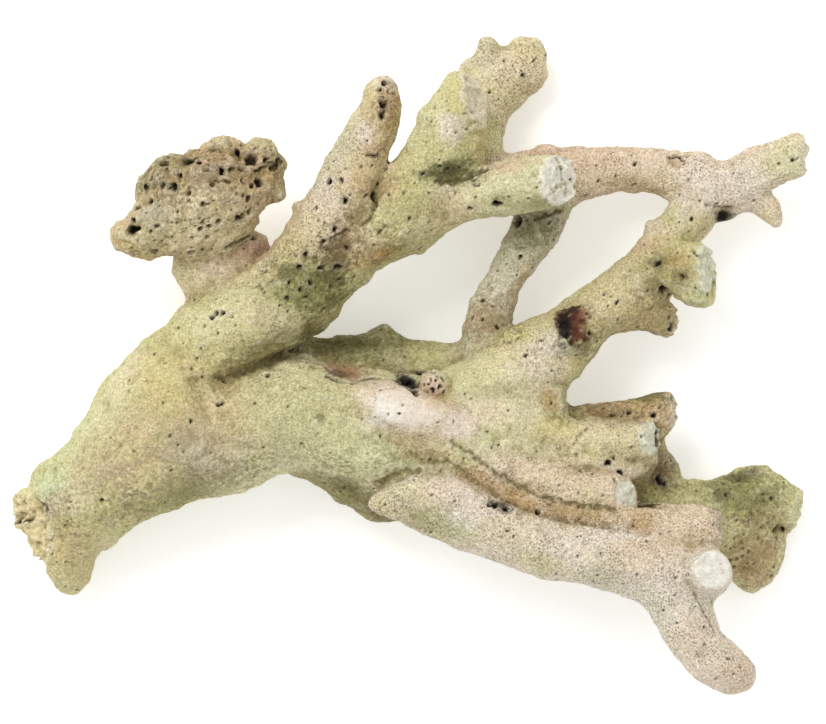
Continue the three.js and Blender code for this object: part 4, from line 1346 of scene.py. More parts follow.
@dataclass
class GrainField:
    """Geometry nodes that roughen the skin, scatter pits over it and lay out the clouds of its stains."""

    swing: float = 2.6  # height of a swell against the swing of its noise
    pit_floor: float = 0.3  # flat share of a pit's radius
    undulation: tuple[tuple[float, float, bool], ...] = (  # width and height in mm, and whether creased
        (18.0, 1.9, False),
        (9.0, 1.2, True),
        (4.0, 0.42, False),
        (1.6, 0.24, False),
    )
    runs: tuple[PitRun, ...] = (
        PitRun("Fine pits", "pitting", 1.9, 0.7, 0.5, 0.8, 7),
        PitRun("Bored pits", "boring", 3.0, 1.5, 0.3, 2.6, 9),
    )
    clouds: tuple[tuple[str, float], ...] = (  # attribute name, and width in mm
        ("cloud", 16.0),
        ("patch", 6.5),
        ("flake", 2.4),
        ("grit", 1.15),
    )

    def displaced(
        self, tree: bpy.types.NodeTree, shape: bpy.types.NodeSocket, height: bpy.types.NodeSocket
    ) -> bpy.types.NodeSocket:
        """Moves a shape along its normals by a height."""
        normal = add_node(tree, "GeometryNodeInputNormal")
        offset = add_node(
            tree, "ShaderNodeVectorMath", {0: normal.outputs[0], "Scale": height}, operation="SCALE"
        )
        moved = add_node(tree, "GeometryNodeSetPosition", {"Geometry": shape, "Offset": offset.outputs[0]})
        return moved.outputs[0]

    def rippled(self, tree: bpy.types.NodeTree, shape: bpy.types.NodeSocket) -> bpy.types.NodeSocket:
        """Adds the swells and creases of worn skeleton, each of its own size."""
        rough = add_node(
            tree, "GeometryNodeInputNamedAttribute", {"Name": "roughening"}, data_type="FLOAT"
        )
        for size, tall, creased in self.undulation:
            height = add_math(tree, "SUBTRACT", add_noise(tree, size, 2.0, 0.55), 0.5)
            if creased:
                height = add_math(tree, "ABSOLUTE", height)
            height = add_math(tree, "MULTIPLY", height, self.swing * tall)
            height = add_math(tree, "MULTIPLY", height, rough.outputs[0])
            shape = self.displaced(tree, shape, height)
        return shape

    def pitted(
        self,
        tree: bpy.types.NodeTree,
        shape: bpy.types.NodeSocket,
        run: PitRun,
        source: bpy.types.Node,
    ) -> bpy.types.NodeSocket:
        """Scatters one run of pits and presses them in.

        Args:
            tree: The node tree.
            shape: The surface.
            run: The run of pits.
            source: The group input node, which has the run's sizes.

        Returns:
            The pitted surface, with how deep each place is stored under the run's density name.
        """
        density = add_node(
            tree, "GeometryNodeInputNamedAttribute", {"Name": run.density}, data_type="FLOAT"
        )
        points = add_node(
            tree, "GeometryNodeDistributePointsOnFaces",
            {
                "Mesh": shape, "Distance Min": source.outputs[run.name + " spacing"],
                "Density Max": 1.6 / run.spacing**2, "Density Factor": density.outputs[0],
                "Seed": run.seed,
            },
            distribute_method="POISSON",
        ).outputs["Points"]
        sized = add_node(
            tree, "FunctionNodeRandomValue", {2: run.smallest, 3: 1.0, "Seed": run.seed},
            data_type="FLOAT",
        )
        place = add_node(tree, "GeometryNodeInputPosition").outputs[0]
        nearest = add_node(
            tree, "GeometryNodeSampleNearest", {"Geometry": points, "Sample Position": place}
        ).outputs[0]
        spot = add_node(
            tree, "GeometryNodeSampleIndex",
            {"Geometry": points, "Value": place, "Index": nearest}, data_type="FLOAT_VECTOR",
        )
        size = add_node(
            tree, "GeometryNodeSampleIndex",
            {"Geometry": points, "Value": sized.outputs[1], "Index": nearest}, data_type="FLOAT",
        )
        radius = add_math(tree, "MULTIPLY", size.outputs[0], source.outputs[run.name + " radius"])
        floor = add_math(tree, "MULTIPLY", radius, self.pit_floor)
        gap = add_node(
            tree, "ShaderNodeVectorMath", {0: place, 1: spot.outputs[0]}, operation="DISTANCE"
        )
        pit = add_range(
            tree, gap.outputs["Value"], (floor, radius), (1.0, 0.0), interpolation_type="SMOOTHSTEP"
        )
        stored = add_node(
            tree, "GeometryNodeStoreNamedAttribute",
            {"Geometry": shape, "Name": run.density, "Value": pit},
            data_type="FLOAT", domain="POINT",
        )
        kept = add_node(tree, "GeometryNodeInputNamedAttribute", {"Name": run.density}, data_type="FLOAT")
        sunk = add_math(tree, "MULTIPLY", kept.outputs[0], source.outputs[run.name + " depth"])
        return self.displaced(tree, stored.outputs[0], add_math(tree, "MULTIPLY", sunk, -1.0))

    def tree(self) -> bpy.types.NodeTree:
        """Builds the node tree, with the pit sizes as its named inputs."""
        tree = bpy.data.node_groups.new("coral_grain", "GeometryNodeTree")
        face = tree.interface
        face.new_socket("Geometry", in_out="INPUT", socket_type="NodeSocketGeometry")
        for run in self.runs:
            for what in ("spacing", "radius", "depth"):
                face.new_socket(f"{run.name} {what}", in_out="INPUT", socket_type="NodeSocketFloat")
        face.new_socket("Finish", in_out="INPUT", socket_type="NodeSocketMaterial")
        face.new_socket("Geometry", in_out="OUTPUT", socket_type="NodeSocketGeometry")
        source = add_node(tree, "NodeGroupInput")
        shape = self.rippled(tree, source.outputs["Geometry"])
        for run in self.runs:
            shape = self.pitted(tree, shape, run, source)
        for name, size in self.clouds:
            shape = add_node(
                tree, "GeometryNodeStoreNamedAttribute",
                {"Geometry": shape, "Name": name, "Value": add_noise(tree, size, 5.0, 0.66)},
                data_type="FLOAT", domain="POINT",
            ).outputs[0]
        real = add_node(tree, "GeometryNodeRealizeInstances", {0: shape})
        dressed = add_node(
            tree, "GeometryNodeSetMaterial",
            {"Geometry": real.outputs[0], "Material": source.outputs["Finish"]},
        )
        add_node(tree, "NodeGroupOutput", {0: dressed.outputs[0]})
        return tree

    def grow(
        self, skin: Skin, fields: dict[str, np.ndarray], finish: bpy.types.Material
    ) -> tuple[Skin, dict[str, np.ndarray]]:
        """Roughens a skin.

        Args:
            skin: The sculpted surface.
            fields: Roughening factor, pitting and boring density of each vertex, by attribute name.
            finish: Material of the grown surface.

        Returns:
            The rough skin, and its pits and clouds by attribute name.
        """
        mesh = skin.to_mesh("smooth_skin")
        for name, values in fields.items():
            layer = mesh.attributes.new(name, "FLOAT", "POINT")
            layer.data.foreach_set("value", values.astype(np.float32))
        tree = self.tree()
        sizes = {"Finish": finish}
        for run in self.runs:
            for what in ("spacing", "radius", "depth"):
                sizes[f"{run.name} {what}"] = getattr(run, what)
        settings: dict[str, object] = {"node_group": tree}
        for item in tree.interface.items_tree:
            if item.in_out == "INPUT" and item.name in sizes:
                settings[item.identifier] = sizes[item.name]
        grown = evaluated(mesh, "NODES", settings)
        found: dict[str, np.ndarray] = {}
        for name in [run.density for run in self.runs] + [name for name, _ in self.clouds]:
            values = np.zeros(len(grown.vertices), np.float32)
            grown.attributes[name].data.foreach_get("value", values)
            found[name] = values.astype(float)
        rough = Skin.from_mesh(grown)
        bpy.data.meshes.remove(grown)
        return rough, found


@dataclass(frozen=True)
class BranchLook:
    """How one branch is dressed: base tint, record slot, and how speckled, pitted, rough and bored it is."""

    tint: Tint
    slot: Slot
    speckle: float = 0.6
    pitting: float = 0.1
    roughening: float = 1.0
    boring: float = 0.0


BRANCH_LOOKS = {
    "trunk": BranchLook(Tint.FILM, Slot.FILM, 0.35, 0.06),
    "body": BranchLook(Tint.PALE_FILM, Slot.FILM, 0.4, 0.07, 0.9),
    "upper_limb": BranchLook(Tint.FILM, Slot.FILM, 0.45, 0.12),
    "stub_arm": BranchLook(Tint.PALE_FILM, Slot.FILM, 0.45, 0.1),
    "strut": BranchLook(Tint.GREY_GREEN, Slot.FILM, 0.5, 0.12),
    "spur": BranchLook(Tint.TAN, Slot.FILM, 0.5, 0.15),
    "knuckle": BranchLook(Tint.FILM, Slot.FILM, 0.5, 0.15),
    "branch_a": BranchLook(Tint.TAN, Slot.FILM, 0.6, 0.2),
    "finger": BranchLook(Tint.CREAM, Slot.BLEACHED, 0.75, 0.1, 0.8),
    "collar": BranchLook(Tint.PINK, Slot.BLEACHED, 0.5, 0.1),
    "upper_fork": BranchLook(Tint.CREAM, Slot.BLEACHED, 0.85, 0.1, 0.8),
    "arch": BranchLook(Tint.PINK, Slot.BLEACHED, 0.75, 0.08, 0.8),
    "right_limb": BranchLook(Tint.FILM, Slot.BLEACHED, 0.65, 0.12),
    "boss": BranchLook(Tint.PINK, Slot.BLEACHED, 0.6, 0.06, 0.6),
    "branch_b": BranchLook(Tint.CREAM, Slot.BLEACHED, 0.6, 0.12),
    "branch_c": BranchLook(Tint.PINK, Slot.BLEACHED, 0.7, 0.12),
    "ridge_branch": BranchLook(Tint.PINK, Slot.BLEACHED, 0.9, 0.12, 0.9),
    "low_arm": BranchLook(Tint.LILAC, Slot.BLEACHED, 0.78, 0.06, 0.7),
    "arm_stub": BranchLook(Tint.LILAC, Slot.BLEACHED, 0.6, 0.04, 0.6),
    "head": BranchLook(Tint.TAN, Slot.PITTED, 0.5, 0.4, 1.7, 0.16),
    "back_limb": BranchLook(Tint.OLIVE, Slot.OLIVE, 0.5, 0.15),
    "keel": BranchLook(Tint.OLIVE, Slot.OLIVE, 0.4, 0.12),
    "web": BranchLook(Tint.OLIVE, Slot.OLIVE, 0.5, 0.2),
    "fan": BranchLook(Tint.FILM, Slot.OLIVE, 0.55, 0.2),
}


@dataclass
class Parting:
    """Parts the finished skin at the forks, into one closed piece for each branch."""

    nodes: dict[str, bpy.types.Object]
    settle_rounds: int = 12
    rim_depth: float = 1.6  # mm that a piece's cut edge is turned in

    def nearest_branch(self, skin: Skin) -> np.ndarray:
        """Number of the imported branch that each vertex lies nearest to."""
        corners: list[Vector] = []
        triangles: list[tuple[int, ...]] = []
        owners: list[int] = []
        for number, node in enumerate(self.nodes.values()):
            start = len(corners)
            corners += [vert.co / MM for vert in node.data.vertices]
            triangles += [tuple(start + i for i in face.vertices) for face in node.data.polygons]
            owners += [number] * len(node.data.polygons)
        tree = BVHTree.FromPolygons(corners, triangles)
        found = [tree.find_nearest(place)[2] for place in skin.verts.tolist()]
        return np.array(owners)[np.array(found)]

    @staticmethod
    def neighbours(skin: Skin) -> np.ndarray:
        """Pairs of faces that share an edge."""
        start, end = skin.edges()
        owner = np.repeat(np.arange(len(skin.faces)), skin.faces.shape[1])
        keys = np.minimum(start, end).astype(np.int64) * len(skin.verts) + np.maximum(start, end)
        order = np.argsort(keys, kind="stable")
        keys, owner = keys[order], owner[order]
        same = np.flatnonzero(keys[1:] == keys[:-1])
        return np.stack([owner[same], owner[same + 1]], axis=1)

    def settle(self, skin: Skin, branch: np.ndarray) -> np.ndarray:
        """Gives every face to one branch, with smooth borders and no islands.

        Args:
            skin: The finished skin.
            branch: Branch number of each vertex.

        Returns:
            Branch number of each face.
        """
        share = np.zeros((len(skin.verts), len(self.nodes)))
        share[np.arange(len(branch)), branch] = 1
        share = skin.blurred(share, self.settle_rounds)
        owner = sum(share[skin.faces[:, i]] for i in range(skin.faces.shape[1])).argmax(axis=1)
        pairs = self.neighbours(skin)
        for _ in range(6):
            owner = self.without_islands(owner, pairs)
            owner, touched = self.without_pinches(skin, share, owner, pairs)
            if not touched:
                break
        return owner

    def without_islands(self, owner: np.ndarray, pairs: np.ndarray) -> np.ndarray:
        """Hands each branch's stray patches to the branch round them."""
        same = owner[pairs[:, 0]] == owner[pairs[:, 1]]
        group = linked_groups(len(owner), pairs[same])
        sizes = np.bincount(group, minlength=len(owner))
        kept = np.zeros(len(owner), bool)
        for number in np.unique(owner):
            mine = group[owner == number]
            kept |= group == mine[np.argmax(sizes[mine])]
        owner = np.where(kept, owner, -1)
        while (owner < 0).any():
            for a, b in ((0, 1), (1, 0)):
                gap = (owner[pairs[:, a]] < 0) & (owner[pairs[:, b]] >= 0)
                owner[pairs[gap, a]] = owner[pairs[gap, b]]
        return owner

    @staticmethod
    def without_pinches(
        skin: Skin, share: np.ndarray, owner: np.ndarray, pairs: np.ndarray
    ) -> tuple[np.ndarray, bool]:
        """Clears corners where one branch would touch itself only at a point.

        Args:
            skin: The finished skin.
            share: How much each vertex belongs to each branch.
            owner: Branch number of each face.
            pairs: Pairs of faces that share an edge.

        Returns:
            The branch number of each face, and whether any changed.
        """
        uneven = owner[pairs[:, 0]] != owner[pairs[:, 1]]
        meeting = pairs[uneven]
        first, second = skin.faces[meeting[:, 0]], skin.faces[meeting[:, 1]]
        shared = (first[:, :, None] == second[:, None, :]).any(axis=2)
        crossings = np.bincount(first[shared], minlength=len(skin.verts))
        pinched = crossings > 3
        if not pinched.any():
            return owner, False
        winner = share.argmax(axis=1)
        for corner in range(skin.faces.shape[1]):
            at = skin.faces[:, corner]
            owner = np.where(pinched[at], winner[at], owner)
        return owner, True

    def closed(
        self, skin: Skin, normals: np.ndarray, faces: np.ndarray
    ) -> tuple[Skin, np.ndarray, np.ndarray]:
        """Makes one closed piece from some faces of the skin.

        Args:
            skin: The whole skin.
            normals: Normals of its vertices.
            faces: The quads of this piece.

        Returns:
            The piece, the skin vertex that each of its vertices takes its look from, and its normals.
        """
        quads = np.concatenate([faces[:, (0, 1, 2)], faces[:, (0, 2, 3)]])
        used, local = np.unique(quads, return_inverse=True)
        triangles = local.reshape(-1, 3)
        verts, facing = skin.verts[used], normals[used]
        start = triangles.ravel()
        end = np.roll(triangles, -1, axis=1).ravel()
        forward = start.astype(np.int64) * len(used) + end
        backward = end.astype(np.int64) * len(used) + start
        rim = ~np.isin(forward, backward)
        first, second = start[rim], end[rim]
        ring, inner = np.unique(np.concatenate([first, second]), return_inverse=True)
        inner_first, inner_second = inner[: len(first)], inner[len(first) :]
        sunk = verts[ring] - self.rim_depth * facing[ring]
        group = linked_groups(len(ring), np.stack([inner_first, inner_second], axis=1))
        names, number = np.unique(group, return_inverse=True)
        base = len(verts)
        hubs, looks, hub_facing = [], [], []
        for index in range(len(names)):
            members = np.flatnonzero(number == index)
            middle = sunk[members].mean(axis=0)
            lean = facing[ring[members]].mean(axis=0)
            spread = np.linalg.norm(sunk[members] - middle, axis=1).mean()
            hubs.append(middle - lean * (1.0 + 0.6 * spread))
            looks.append(used[ring[members[0]]])
            hub_facing.append(facing[ring[members[0]]])
        low_first, low_second = base + inner_first, base + inner_second
        hub = base + len(ring) + number[inner_first]
        caps = np.concatenate(
            [
                np.stack([second, first, low_first], axis=1),
                np.stack([second, low_first, low_second], axis=1),
                np.stack([low_second, low_first, hub], axis=1),
            ]
        )
        piece = Skin(np.concatenate([verts, sunk, hubs]), np.concatenate([triangles, caps]))
        looks_from = np.concatenate([used, used[ring], looks])
        return piece, looks_from, np.concatenate([facing, facing[ring], hub_facing])


@dataclass
class Painter:
    """Colours the skin: film and stains, painted shade and dirt in the hollows and on turned-away sides, pale
    ridges and pale breaks.
    """

    skin: Skin
    normals: np.ndarray
    surface: Surface
    colour: np.ndarray
    speckle: np.ndarray
    clouds: dict[str, np.ndarray]
    cloud_gain: float = 6.5  # brings the noise's swing about its middle to about 1
    cloud_limit: float = 1.3

    def lay(self, tint: Tint, share: np.ndarray) -> None:
        """Lays a tint over the skin in the given share."""
        target = np.array(to_linear(tint.value)[:3])
        self.colour += (target - self.colour) * np.clip(share, 0, 1)[:, None]

    def cloud(self, name: str) -> np.ndarray:
        """One of the cloud fields, spread to about -1 to 1."""
        return np.clip((self.clouds[name] - 0.5) * self.cloud_gain, -self.cloud_limit, self.cloud_limit)

    def hollows(self, rounds: int, depth: float) -> np.ndarray:
        """How hollow (to 1) or how proud (to -1) each place is at one scale."""
        drift = self.skin.blurred(self.skin.verts, rounds) - self.skin.verts
        return np.clip((drift * self.normals).sum(axis=1) / depth, -1, 1)

    def mottle(self) -> None:
        """Drifts the base tint between film, cream, olive and lilac in ragged patches."""
        wide, patch, flake = self.cloud("cloud"), self.cloud("patch"), self.cloud("flake")
        self.lay(Tint.FILM, 0.45 * np.clip(wide, 0, 1))
        self.lay(Tint.LILAC, 0.36 * np.clip(-wide, 0, 1))
        self.lay(Tint.OLIVE, 0.42 * np.clip(patch - 0.2, 0, 1))
        self.lay(Tint.PINK, 0.4 * np.clip(-patch - 0.2, 0, 1))
        self.lay(Tint.TAN, 0.45 * np.clip(0.5 * patch + flake - 0.5, 0, 1))
        self.lay(Tint.OLIVE, 0.4 * np.clip(0.5 * wide + flake - 0.8, 0, 1))
        self.lay(Tint.FRESH, 0.34 * np.clip(-flake - 0.55, 0, 1))

    def stain(self, marks: Sequence[Stain]) -> None:
        """Lays the named stains, with ragged and broken edges."""
        verts = self.skin.verts
        ragged = 0.32 * self.cloud("patch") + 0.3 * self.cloud("flake")
        gritty = 0.16 * self.cloud("patch") + 0.2 * self.cloud("flake") + 0.3 * self.cloud("grit")
        for mark in marks:
            landed = self.surface.below(mark.x, mark.y)
            if landed is None:
                continue
            away = verts - landed[0]
            near = np.flatnonzero((np.abs(away) < 2.4 * max(mark.radii)).all(axis=1))
            away = away[near]
            along, across = turned(away, mark.turn)
            gap = np.sqrt(
                (along / mark.radii[0]) ** 2
                + (across / mark.radii[1]) ** 2
                + (away[:, 2] / (max(mark.radii) * mark.sink)) ** 2
            )
            torn = mark.scatter * (gritty if mark.scatter > 1 else ragged)
            share = np.zeros(len(verts))
            share[near] = mark.strength / (1 + np.exp((gap - 0.95 + torn[near]) * mark.edge))
            self.lay(mark.tint, share)
            self.speckle *= 1 - mark.calm * share

    def shade_and_weather(self) -> None:
        """Darkens hollows and turned-away sides with olive and ochre, as painted shade partly standing for
        dirt and film, and bleaches ridges.
        """
        patch, flake = self.cloud("patch"), self.cloud("flake")
        broad = self.hollows(90, 1.5)
        fine = self.hollows(6, 0.28)
        # painted shade in the broad hollows, with some olive and ochre dirt in it
        self.lay(Tint.DARK_OLIVE, 0.6 * np.clip(broad + 0.15 * patch, 0, 1))
        self.lay(Tint.OCHRE, 0.3 * np.clip(broad + 0.3 * flake, 0, 1))
        # painted shade on the sides turned away from the light, partly olive film
        self.lay(Tint.OLIVE, 0.3 * np.clip(0.35 - self.normals[:, 2] + 0.2 * patch, 0, 1))
        # painted shade in the fine hollows, partly dirt
        self.lay(Tint.DARK_OLIVE, 0.55 * np.clip(fine - 0.1, 0, 1))
        self.lay(Tint.FRESH, 0.3 * np.clip(-fine - 0.15, 0, 1))

    def expose_breaks(self) -> None:
        """Pales the faces of the snapped ends."""
        flake = self.cloud("flake")
        for end in BROKEN_ENDS:
            height = end.height(self.skin.verts, 1.25)
            facing = np.clip(self.normals @ end.frame()[1] * 2.2 - 0.6, 0, 1)
            share = facing / (1 + np.exp(-(height + 1.1 + 0.4 * flake) * 5))
            self.lay(end.tint, end.fresh * 0.95 * share)
            self.lay(Tint.GREY_GREEN, end.fresh * 0.3 * share * np.clip(flake, 0, 1))
            self.speckle *= 1 - 0.85 * end.fresh * share

    def shade_and_soil(self, shade_and_grime: np.ndarray) -> None:
        """Darkens the bored holes, creases and pits with painted shade, partly dirt."""
        fine, bored = self.clouds["pitting"], self.clouds["boring"]
        # painted shade and dirt in the fine and bored pits
        self.lay(Tint.BROWN, 0.6 * np.clip(fine * 1.3, 0, 1))
        self.lay(Tint.BLACK, 0.7 * np.clip(fine * 1.6 - 0.7, 0, 1))
        self.lay(Tint.BROWN, 0.5 * np.clip(bored * 1.5, 0, 1))
        self.lay(Tint.UMBER, 0.75 * np.clip(bored * 1.5 - 0.6, 0, 1))
        # painted shade and dirt in the holes and creases
        self.lay(Tint.DARK_OLIVE, np.clip(shade_and_grime * 1.2, 0, 1))
        self.lay(Tint.UMBER, np.clip(shade_and_grime * 1.6 - 0.45, 0, 1))
        self.lay(Tint.BLACK, np.clip(shade_and_grime * 3.2 - 1.3, 0, 1))


@dataclass(frozen=True)
class SkeletonFinish:
    """Aragonite skeleton, dried and weathered: chalky, with rows of tiny cup mouths all over it.

    The eye sees a matt, faintly granular skin, peppered with dark dots about a millimetre apart.
    """

    name: str
    roughness: float
    cup_spacing: float = 0.85  # mm between cup mouths
    cup_radius: float = 0.3  # mm
    net_size: float = 0.8  # mm across the gaps between grains
    net_share: float = 0.5  # how much the gaps darken, against the cup mouths
    patch_size: float = 7.0  # mm across the patches of thinner and thicker dots
    thinnest: float = 0.45  # how dark the dots are where they are thinnest
    dot_shade: Triple = (0.34, 0.27, 0.18)  # share of red, green and blue that a dot keeps
    grain_size: float = 0.34  # mm
    grain_height: float = 0.26  # mm
    bump_strength: float = 0.8
    fleck_tones: Point = (0.58, 1.27)  # darkest and lightest fleck, against the skin round it
    specular: float = 0.28

    def build(self) -> bpy.types.Material:
        """Builds the material."""
        material = bpy.data.materials.new(self.name)
        material.use_nodes = True
        tree = material.node_tree
        tree.nodes.clear()
        place = add_node(tree, "ShaderNodeTexCoord").outputs["Object"]
        tint = add_node(tree, "ShaderNodeAttribute", attribute_name="skeleton_tint")
        speckle = add_node(tree, "ShaderNodeAttribute", attribute_name="speckle")
        # cup mouths: dots at the middles of irregular cells, which cut the skin at any depth; their darkness
        # is painted shade in the tiny pits, partly dirt
        cups = add_node(
            tree, "ShaderNodeTexVoronoi",
            {"Vector": place, "Scale": 1 / (self.cup_spacing * MM), "Randomness": 0.85},
        )
        edge = self.cup_radius / self.cup_spacing
        dots = add_range(
            tree, cups.outputs["Distance"], (edge * 0.55, edge * 1.25), (1.0, 0.0),
            interpolation_type="SMOOTHSTEP",
        )
        # gaps between the grains: a dark worm-like net, a little under a millimetre across; its darkness is
        # painted shade in the gaps, partly dirt
        net = add_noise(tree, self.net_size * MM, 2.5, 0.62, place)
        gaps = add_range(tree, net, (0.5, 0.66), (0.0, self.net_share))
        patch = add_noise(tree, self.patch_size * MM, 2.0, place=place)
        patchy = add_range(tree, patch, (0.36, 0.6), (self.thinnest, 1.0))
        amount = add_math(tree, "MULTIPLY", patchy, speckle.outputs["Fac"])
        dotted = add_math(tree, "MULTIPLY", add_math(tree, "MAXIMUM", dots, gaps), amount)
        # dust and grains: light and dark flecks, a little under a millimetre across
        fleck = add_noise(tree, self.grain_size * 2.4 * MM, 3.0, 0.7, place)
        tone = add_range(tree, fleck, (0.3, 0.7), self.fleck_tones)
        # smooth patches and fresh breaks show less of it
        evenness = add_range(tree, speckle.outputs["Fac"], (0.0, 0.35), (0.3, 1.0))
        dusted = add_node(tree, "ShaderNodeMix", {0: evenness, 2: 1.0, 3: tone})
        shaded = add_node(
            tree, "ShaderNodeVectorMath", {0: tint.outputs["Color"], "Scale": dusted.outputs[0]},
            operation="SCALE",
        )
        # the dots keep the hue of the skin round them
        stained = add_node(
            tree, "ShaderNodeVectorMath", {0: shaded.outputs[0], 1: self.dot_shade},
            operation="MULTIPLY",
        )
        darkened = add_node(
            tree, "ShaderNodeMix",
            {0: dotted, 6: shaded.outputs[0], 7: stained.outputs[0]},
            data_type="RGBA",
        )
        # height of the grain
        grain = add_noise(tree, self.grain_size * 1.8 * MM, 3.0, 0.65, place)
        raised = add_math(tree, "SUBTRACT", grain, dotted)
        bump = add_node(
            tree, "ShaderNodeBump",
            {"Height": raised, "Strength": self.bump_strength, "Distance": self.grain_height * MM},
        )
        skin = add_node(
            tree, "ShaderNodeBsdfPrincipled",
            {
                "Base Color": darkened.outputs[2], "Roughness": self.roughness,
                "Specular IOR Level": self.specular, "Normal": bump.outputs[0],
            },
        )
        add_node(tree, "ShaderNodeOutputMaterial", {"Surface": skin.outputs[0]})
        return material


FINISHES = {
    Slot.FILM: SkeletonFinish("aragonite_green_film", 0.82, net_share=0.6),
    Slot.BLEACHED: SkeletonFinish("aragonite_bleached", 0.8),
    Slot.OLIVE: SkeletonFinish("aragonite_olive_turf", 0.84, net_share=0.6),
    Slot.PITTED: SkeletonFinish("aragonite_bored", 0.84),
}


@dataclass
class Coral:
    """The whole coral: fused, sculpted, painted and parted into its branches."""

    nodes: dict[str, bpy.types.Object]
    finishes: dict[Slot, bpy.types.Material] = field(default_factory=dict)
    field_rounds: int = 20  # blur of the pitting and its like across the forks
    tint_rounds: int = 50  # blur of the base tints across the forks

    def spread(self, skin: Skin, branch: np.ndarray, values: list[float]) -> np.ndarray:
        """Gives each vertex its branch's value, blended across the forks."""
        return skin.blurred(np.array(values, float)[branch], self.field_rounds)

    def build(self) -> list[bpy.types.Object]:
        """Builds every piece.

        Returns:
            The finished pieces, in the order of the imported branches.
        """
        skeleton = Skeleton(self.nodes)
        coarse = skeleton.fused()
        LOG.info("fused the branches: %d faces", len(coarse.faces))
        sculptor = Sculptor(coarse)
        sculptor.snap_ends()
        sculptor.swell()
        sculptor.bite()
        skin = skeleton.refined(sculptor.skin)
        LOG.info("refined the skin: %d faces", len(skin.faces))
        parting = Parting(self.nodes)
        branch = parting.nearest_branch(skin)
        looks = [BRANCH_LOOKS[name] for name in self.nodes]
        self.finishes = {slot: finish.build() for slot, finish in FINISHES.items()}
        fields = {
            name: self.spread(skin, branch, [getattr(look, name) for look in looks])
            for name in ("pitting", "boring", "roughening", "speckle")
        }
        speckle = fields.pop("speckle")
        on_break = sum(1 / (1 + np.exp(-(end.height(skin.verts) + 1.2) * 4)) for end in BROKEN_ENDS)
        for name in ("pitting", "boring"):
            fields[name] *= np.clip(1 - on_break, 0, 1)
        fields["roughening"] *= np.clip(1 - 0.7 * on_break, 0, 1)
        skin, clouds = GrainField().grow(skin, fields, self.finishes[Slot.FILM])
        LOG.info("roughened the skin")
        sculptor = Sculptor(skin)
        surface = Surface(skin)
        shade_and_grime = sculptor.bore(surface)
        sculptor.flatten_rests()
        normals = skin.normals()
        LOG.info("bored %d holes and %d creases", len(HOLES), len(GROOVES))
        tints = np.array([to_linear(look.tint.value)[:3] for look in looks])
        base = skin.blurred(tints[branch], self.tint_rounds)
        painter = Painter(skin, normals, surface, base, speckle, clouds)
        painter.mottle()
        painter.stain(STAINS)
        painter.shade_and_weather()
        painter.expose_breaks()
        painter.shade_and_soil(shade_and_grime)
        painter.stain(CRUSTS)
        LOG.info("painted the skin")
        owner = parting.settle(skin, branch)
        return [
            self.piece(name, parting.closed(skin, normals, skin.faces[owner == number]), painter)
            for number, name in enumerate(self.nodes)
        ]

    def piece(
        self, name: str, part: tuple[Skin, np.ndarray, np.ndarray], painter: Painter
    ) -> bpy.types.Object:
        """Makes the Blender object of one branch.

        Args:
            name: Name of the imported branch.
            part: The closed piece, the skin vertices it takes its look from, and its normals.
            painter: Holder of the skin's colours.

        Returns:
            The object, riding on the coral's body.
        """
        skin, looks_from, facing = part
        mesh = skin.to_mesh("coral_" + name, MM)
        shade = np.ones((len(looks_from), 4), np.float32)
        shade[:, :3] = painter.colour[looks_from]
        mesh.attributes.new("skeleton_tint", "FLOAT_COLOR", "POINT").data.foreach_set("color", shade.ravel())
        speckle = painter.speckle[looks_from].astype(np.float32)
        mesh.attributes.new("speckle", "FLOAT", "POINT").data.foreach_set("value", speckle)
        mesh.normals_split_custom_set_from_vertices(facing.tolist())
        slot = BRANCH_LOOKS[name].slot
        mesh.materials.append(self.finishes[slot])
        made = bpy.data.objects.new("coral_" + name, mesh)
        bpy.context.scene.collection.objects.link(made)
        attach(made, "root")
        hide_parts(name)
        LOG.info("%s: %d triangles", made.name, len(mesh.polygons))
        return made


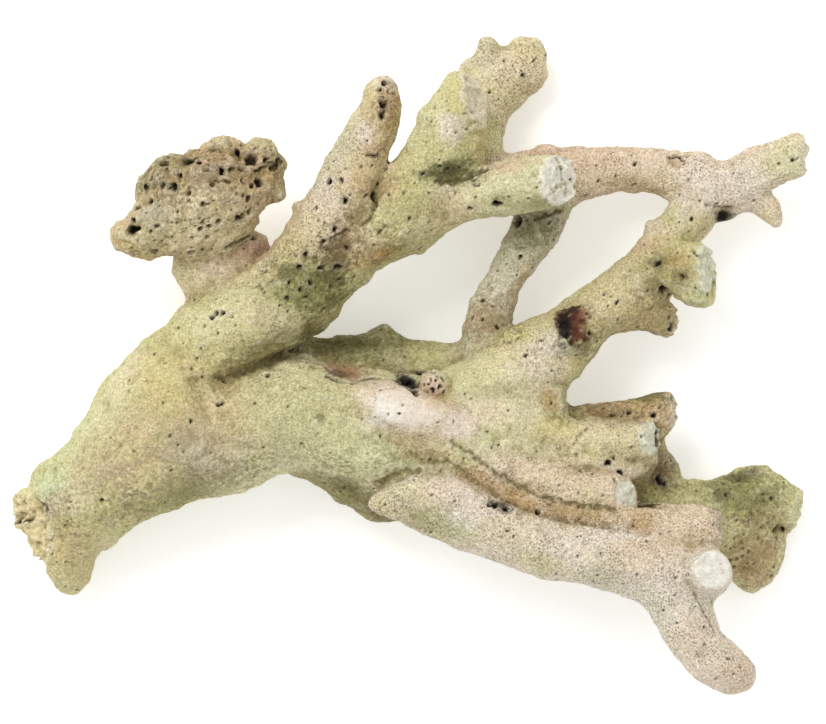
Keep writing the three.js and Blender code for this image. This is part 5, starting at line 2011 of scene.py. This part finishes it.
@dataclass
class Studio:
    """Pale table, soft light and a camera that looks straight down on the coral."""

    view_centre: Point = (1.9, 0.0)  # mm
    view_width: float = 264.3  # mm across the picture at the coral's middle height
    middle_height: float = 28.0  # mm
    lens: float = 218.0  # mm
    sensor: float = 36.0  # mm
    far_clip: float = 20.0  # m
    sky: float = 0.84
    key_power: float = 11.0  # W
    key_place: Triple = (-0.6, 0.75, 1.2)  # m
    key_size: float = 0.7  # m
    table_glow: float = 0.3
    table_size: float = 6.0  # m

    def table(self) -> bpy.types.Object:
        """A wide pale table top at ground level."""
        half = self.table_size / 2
        mesh = bpy.data.meshes.new("table_top")
        mesh.from_pydata(
            [(-half, -half, 0), (half, -half, 0), (half, half, 0), (-half, half, 0)], [], [(0, 1, 2, 3)]
        )
        paint = bpy.data.materials.new("matt_white_paint")
        paint.use_nodes = True
        surface = paint.node_tree.nodes["Principled BSDF"]
        surface.inputs["Base Color"].default_value = to_linear("#fbfbfa")
        surface.inputs["Roughness"].default_value = 0.9
        surface.inputs["Specular IOR Level"].default_value = 0.2
        surface.inputs["Emission Color"].default_value = (1, 1, 1, 1)
        surface.inputs["Emission Strength"].default_value = self.table_glow
        mesh.materials.append(paint)
        table = bpy.data.objects.new("table_top", mesh)
        bpy.context.scene.collection.objects.link(table)
        return table

    def lamp(self, name: str, place: Triple, size: float, power: float) -> None:
        """A square soft lamp, aimed at the coral.

        Args:
            name: Name of the lamp.
            place: Where it hangs, in metres.
            size: Side of the lamp, in metres.
            power: Power in watts.
        """
        light = bpy.data.lights.new(name, "AREA")
        light.size = size
        light.energy = power
        lamp = bpy.data.objects.new(name, light)
        lamp.location = place
        lamp.rotation_euler = (-Vector(place)).to_track_quat("-Z", "Y").to_euler()
        bpy.context.scene.collection.objects.link(lamp)

    def lights(self) -> None:
        """Even light from all round, and a soft key from the upper left."""
        world = bpy.data.worlds.new("studio")
        world.use_nodes = True
        world.node_tree.nodes["Background"].inputs["Color"].default_value = (1, 1, 1, 1)
        world.node_tree.nodes["Background"].inputs["Strength"].default_value = self.sky
        bpy.context.scene.world = world
        self.lamp("key", self.key_place, self.key_size, self.key_power)
        bpy.context.scene.view_settings.view_transform = "Standard"

    def camera(self) -> None:
        """The camera, far enough off that the coral is seen almost without perspective."""
        data = bpy.data.cameras.new("camera")
        data.lens, data.sensor_width = self.lens, self.sensor
        data.clip_end = self.far_clip
        camera = bpy.data.objects.new("camera", data)
        height = self.middle_height + self.view_width * self.lens / self.sensor
        camera.location = (self.view_centre[0] * MM, self.view_centre[1] * MM, height * MM)
        bpy.context.scene.collection.objects.link(camera)
        bpy.context.scene.camera = camera


def main() -> None:
    """Builds the coral and its studio."""
    logging.basicConfig(level=logging.INFO, format="%(relativeCreated)7.0f ms %(message)s")
    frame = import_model()
    studio = Studio()
    studio.table()
    studio.lights()
    studio.camera()
    pieces = Coral(frame["nodes"]).build()
    LOG.info("%d pieces", len(pieces))


if __name__ == "__main__":
    main()
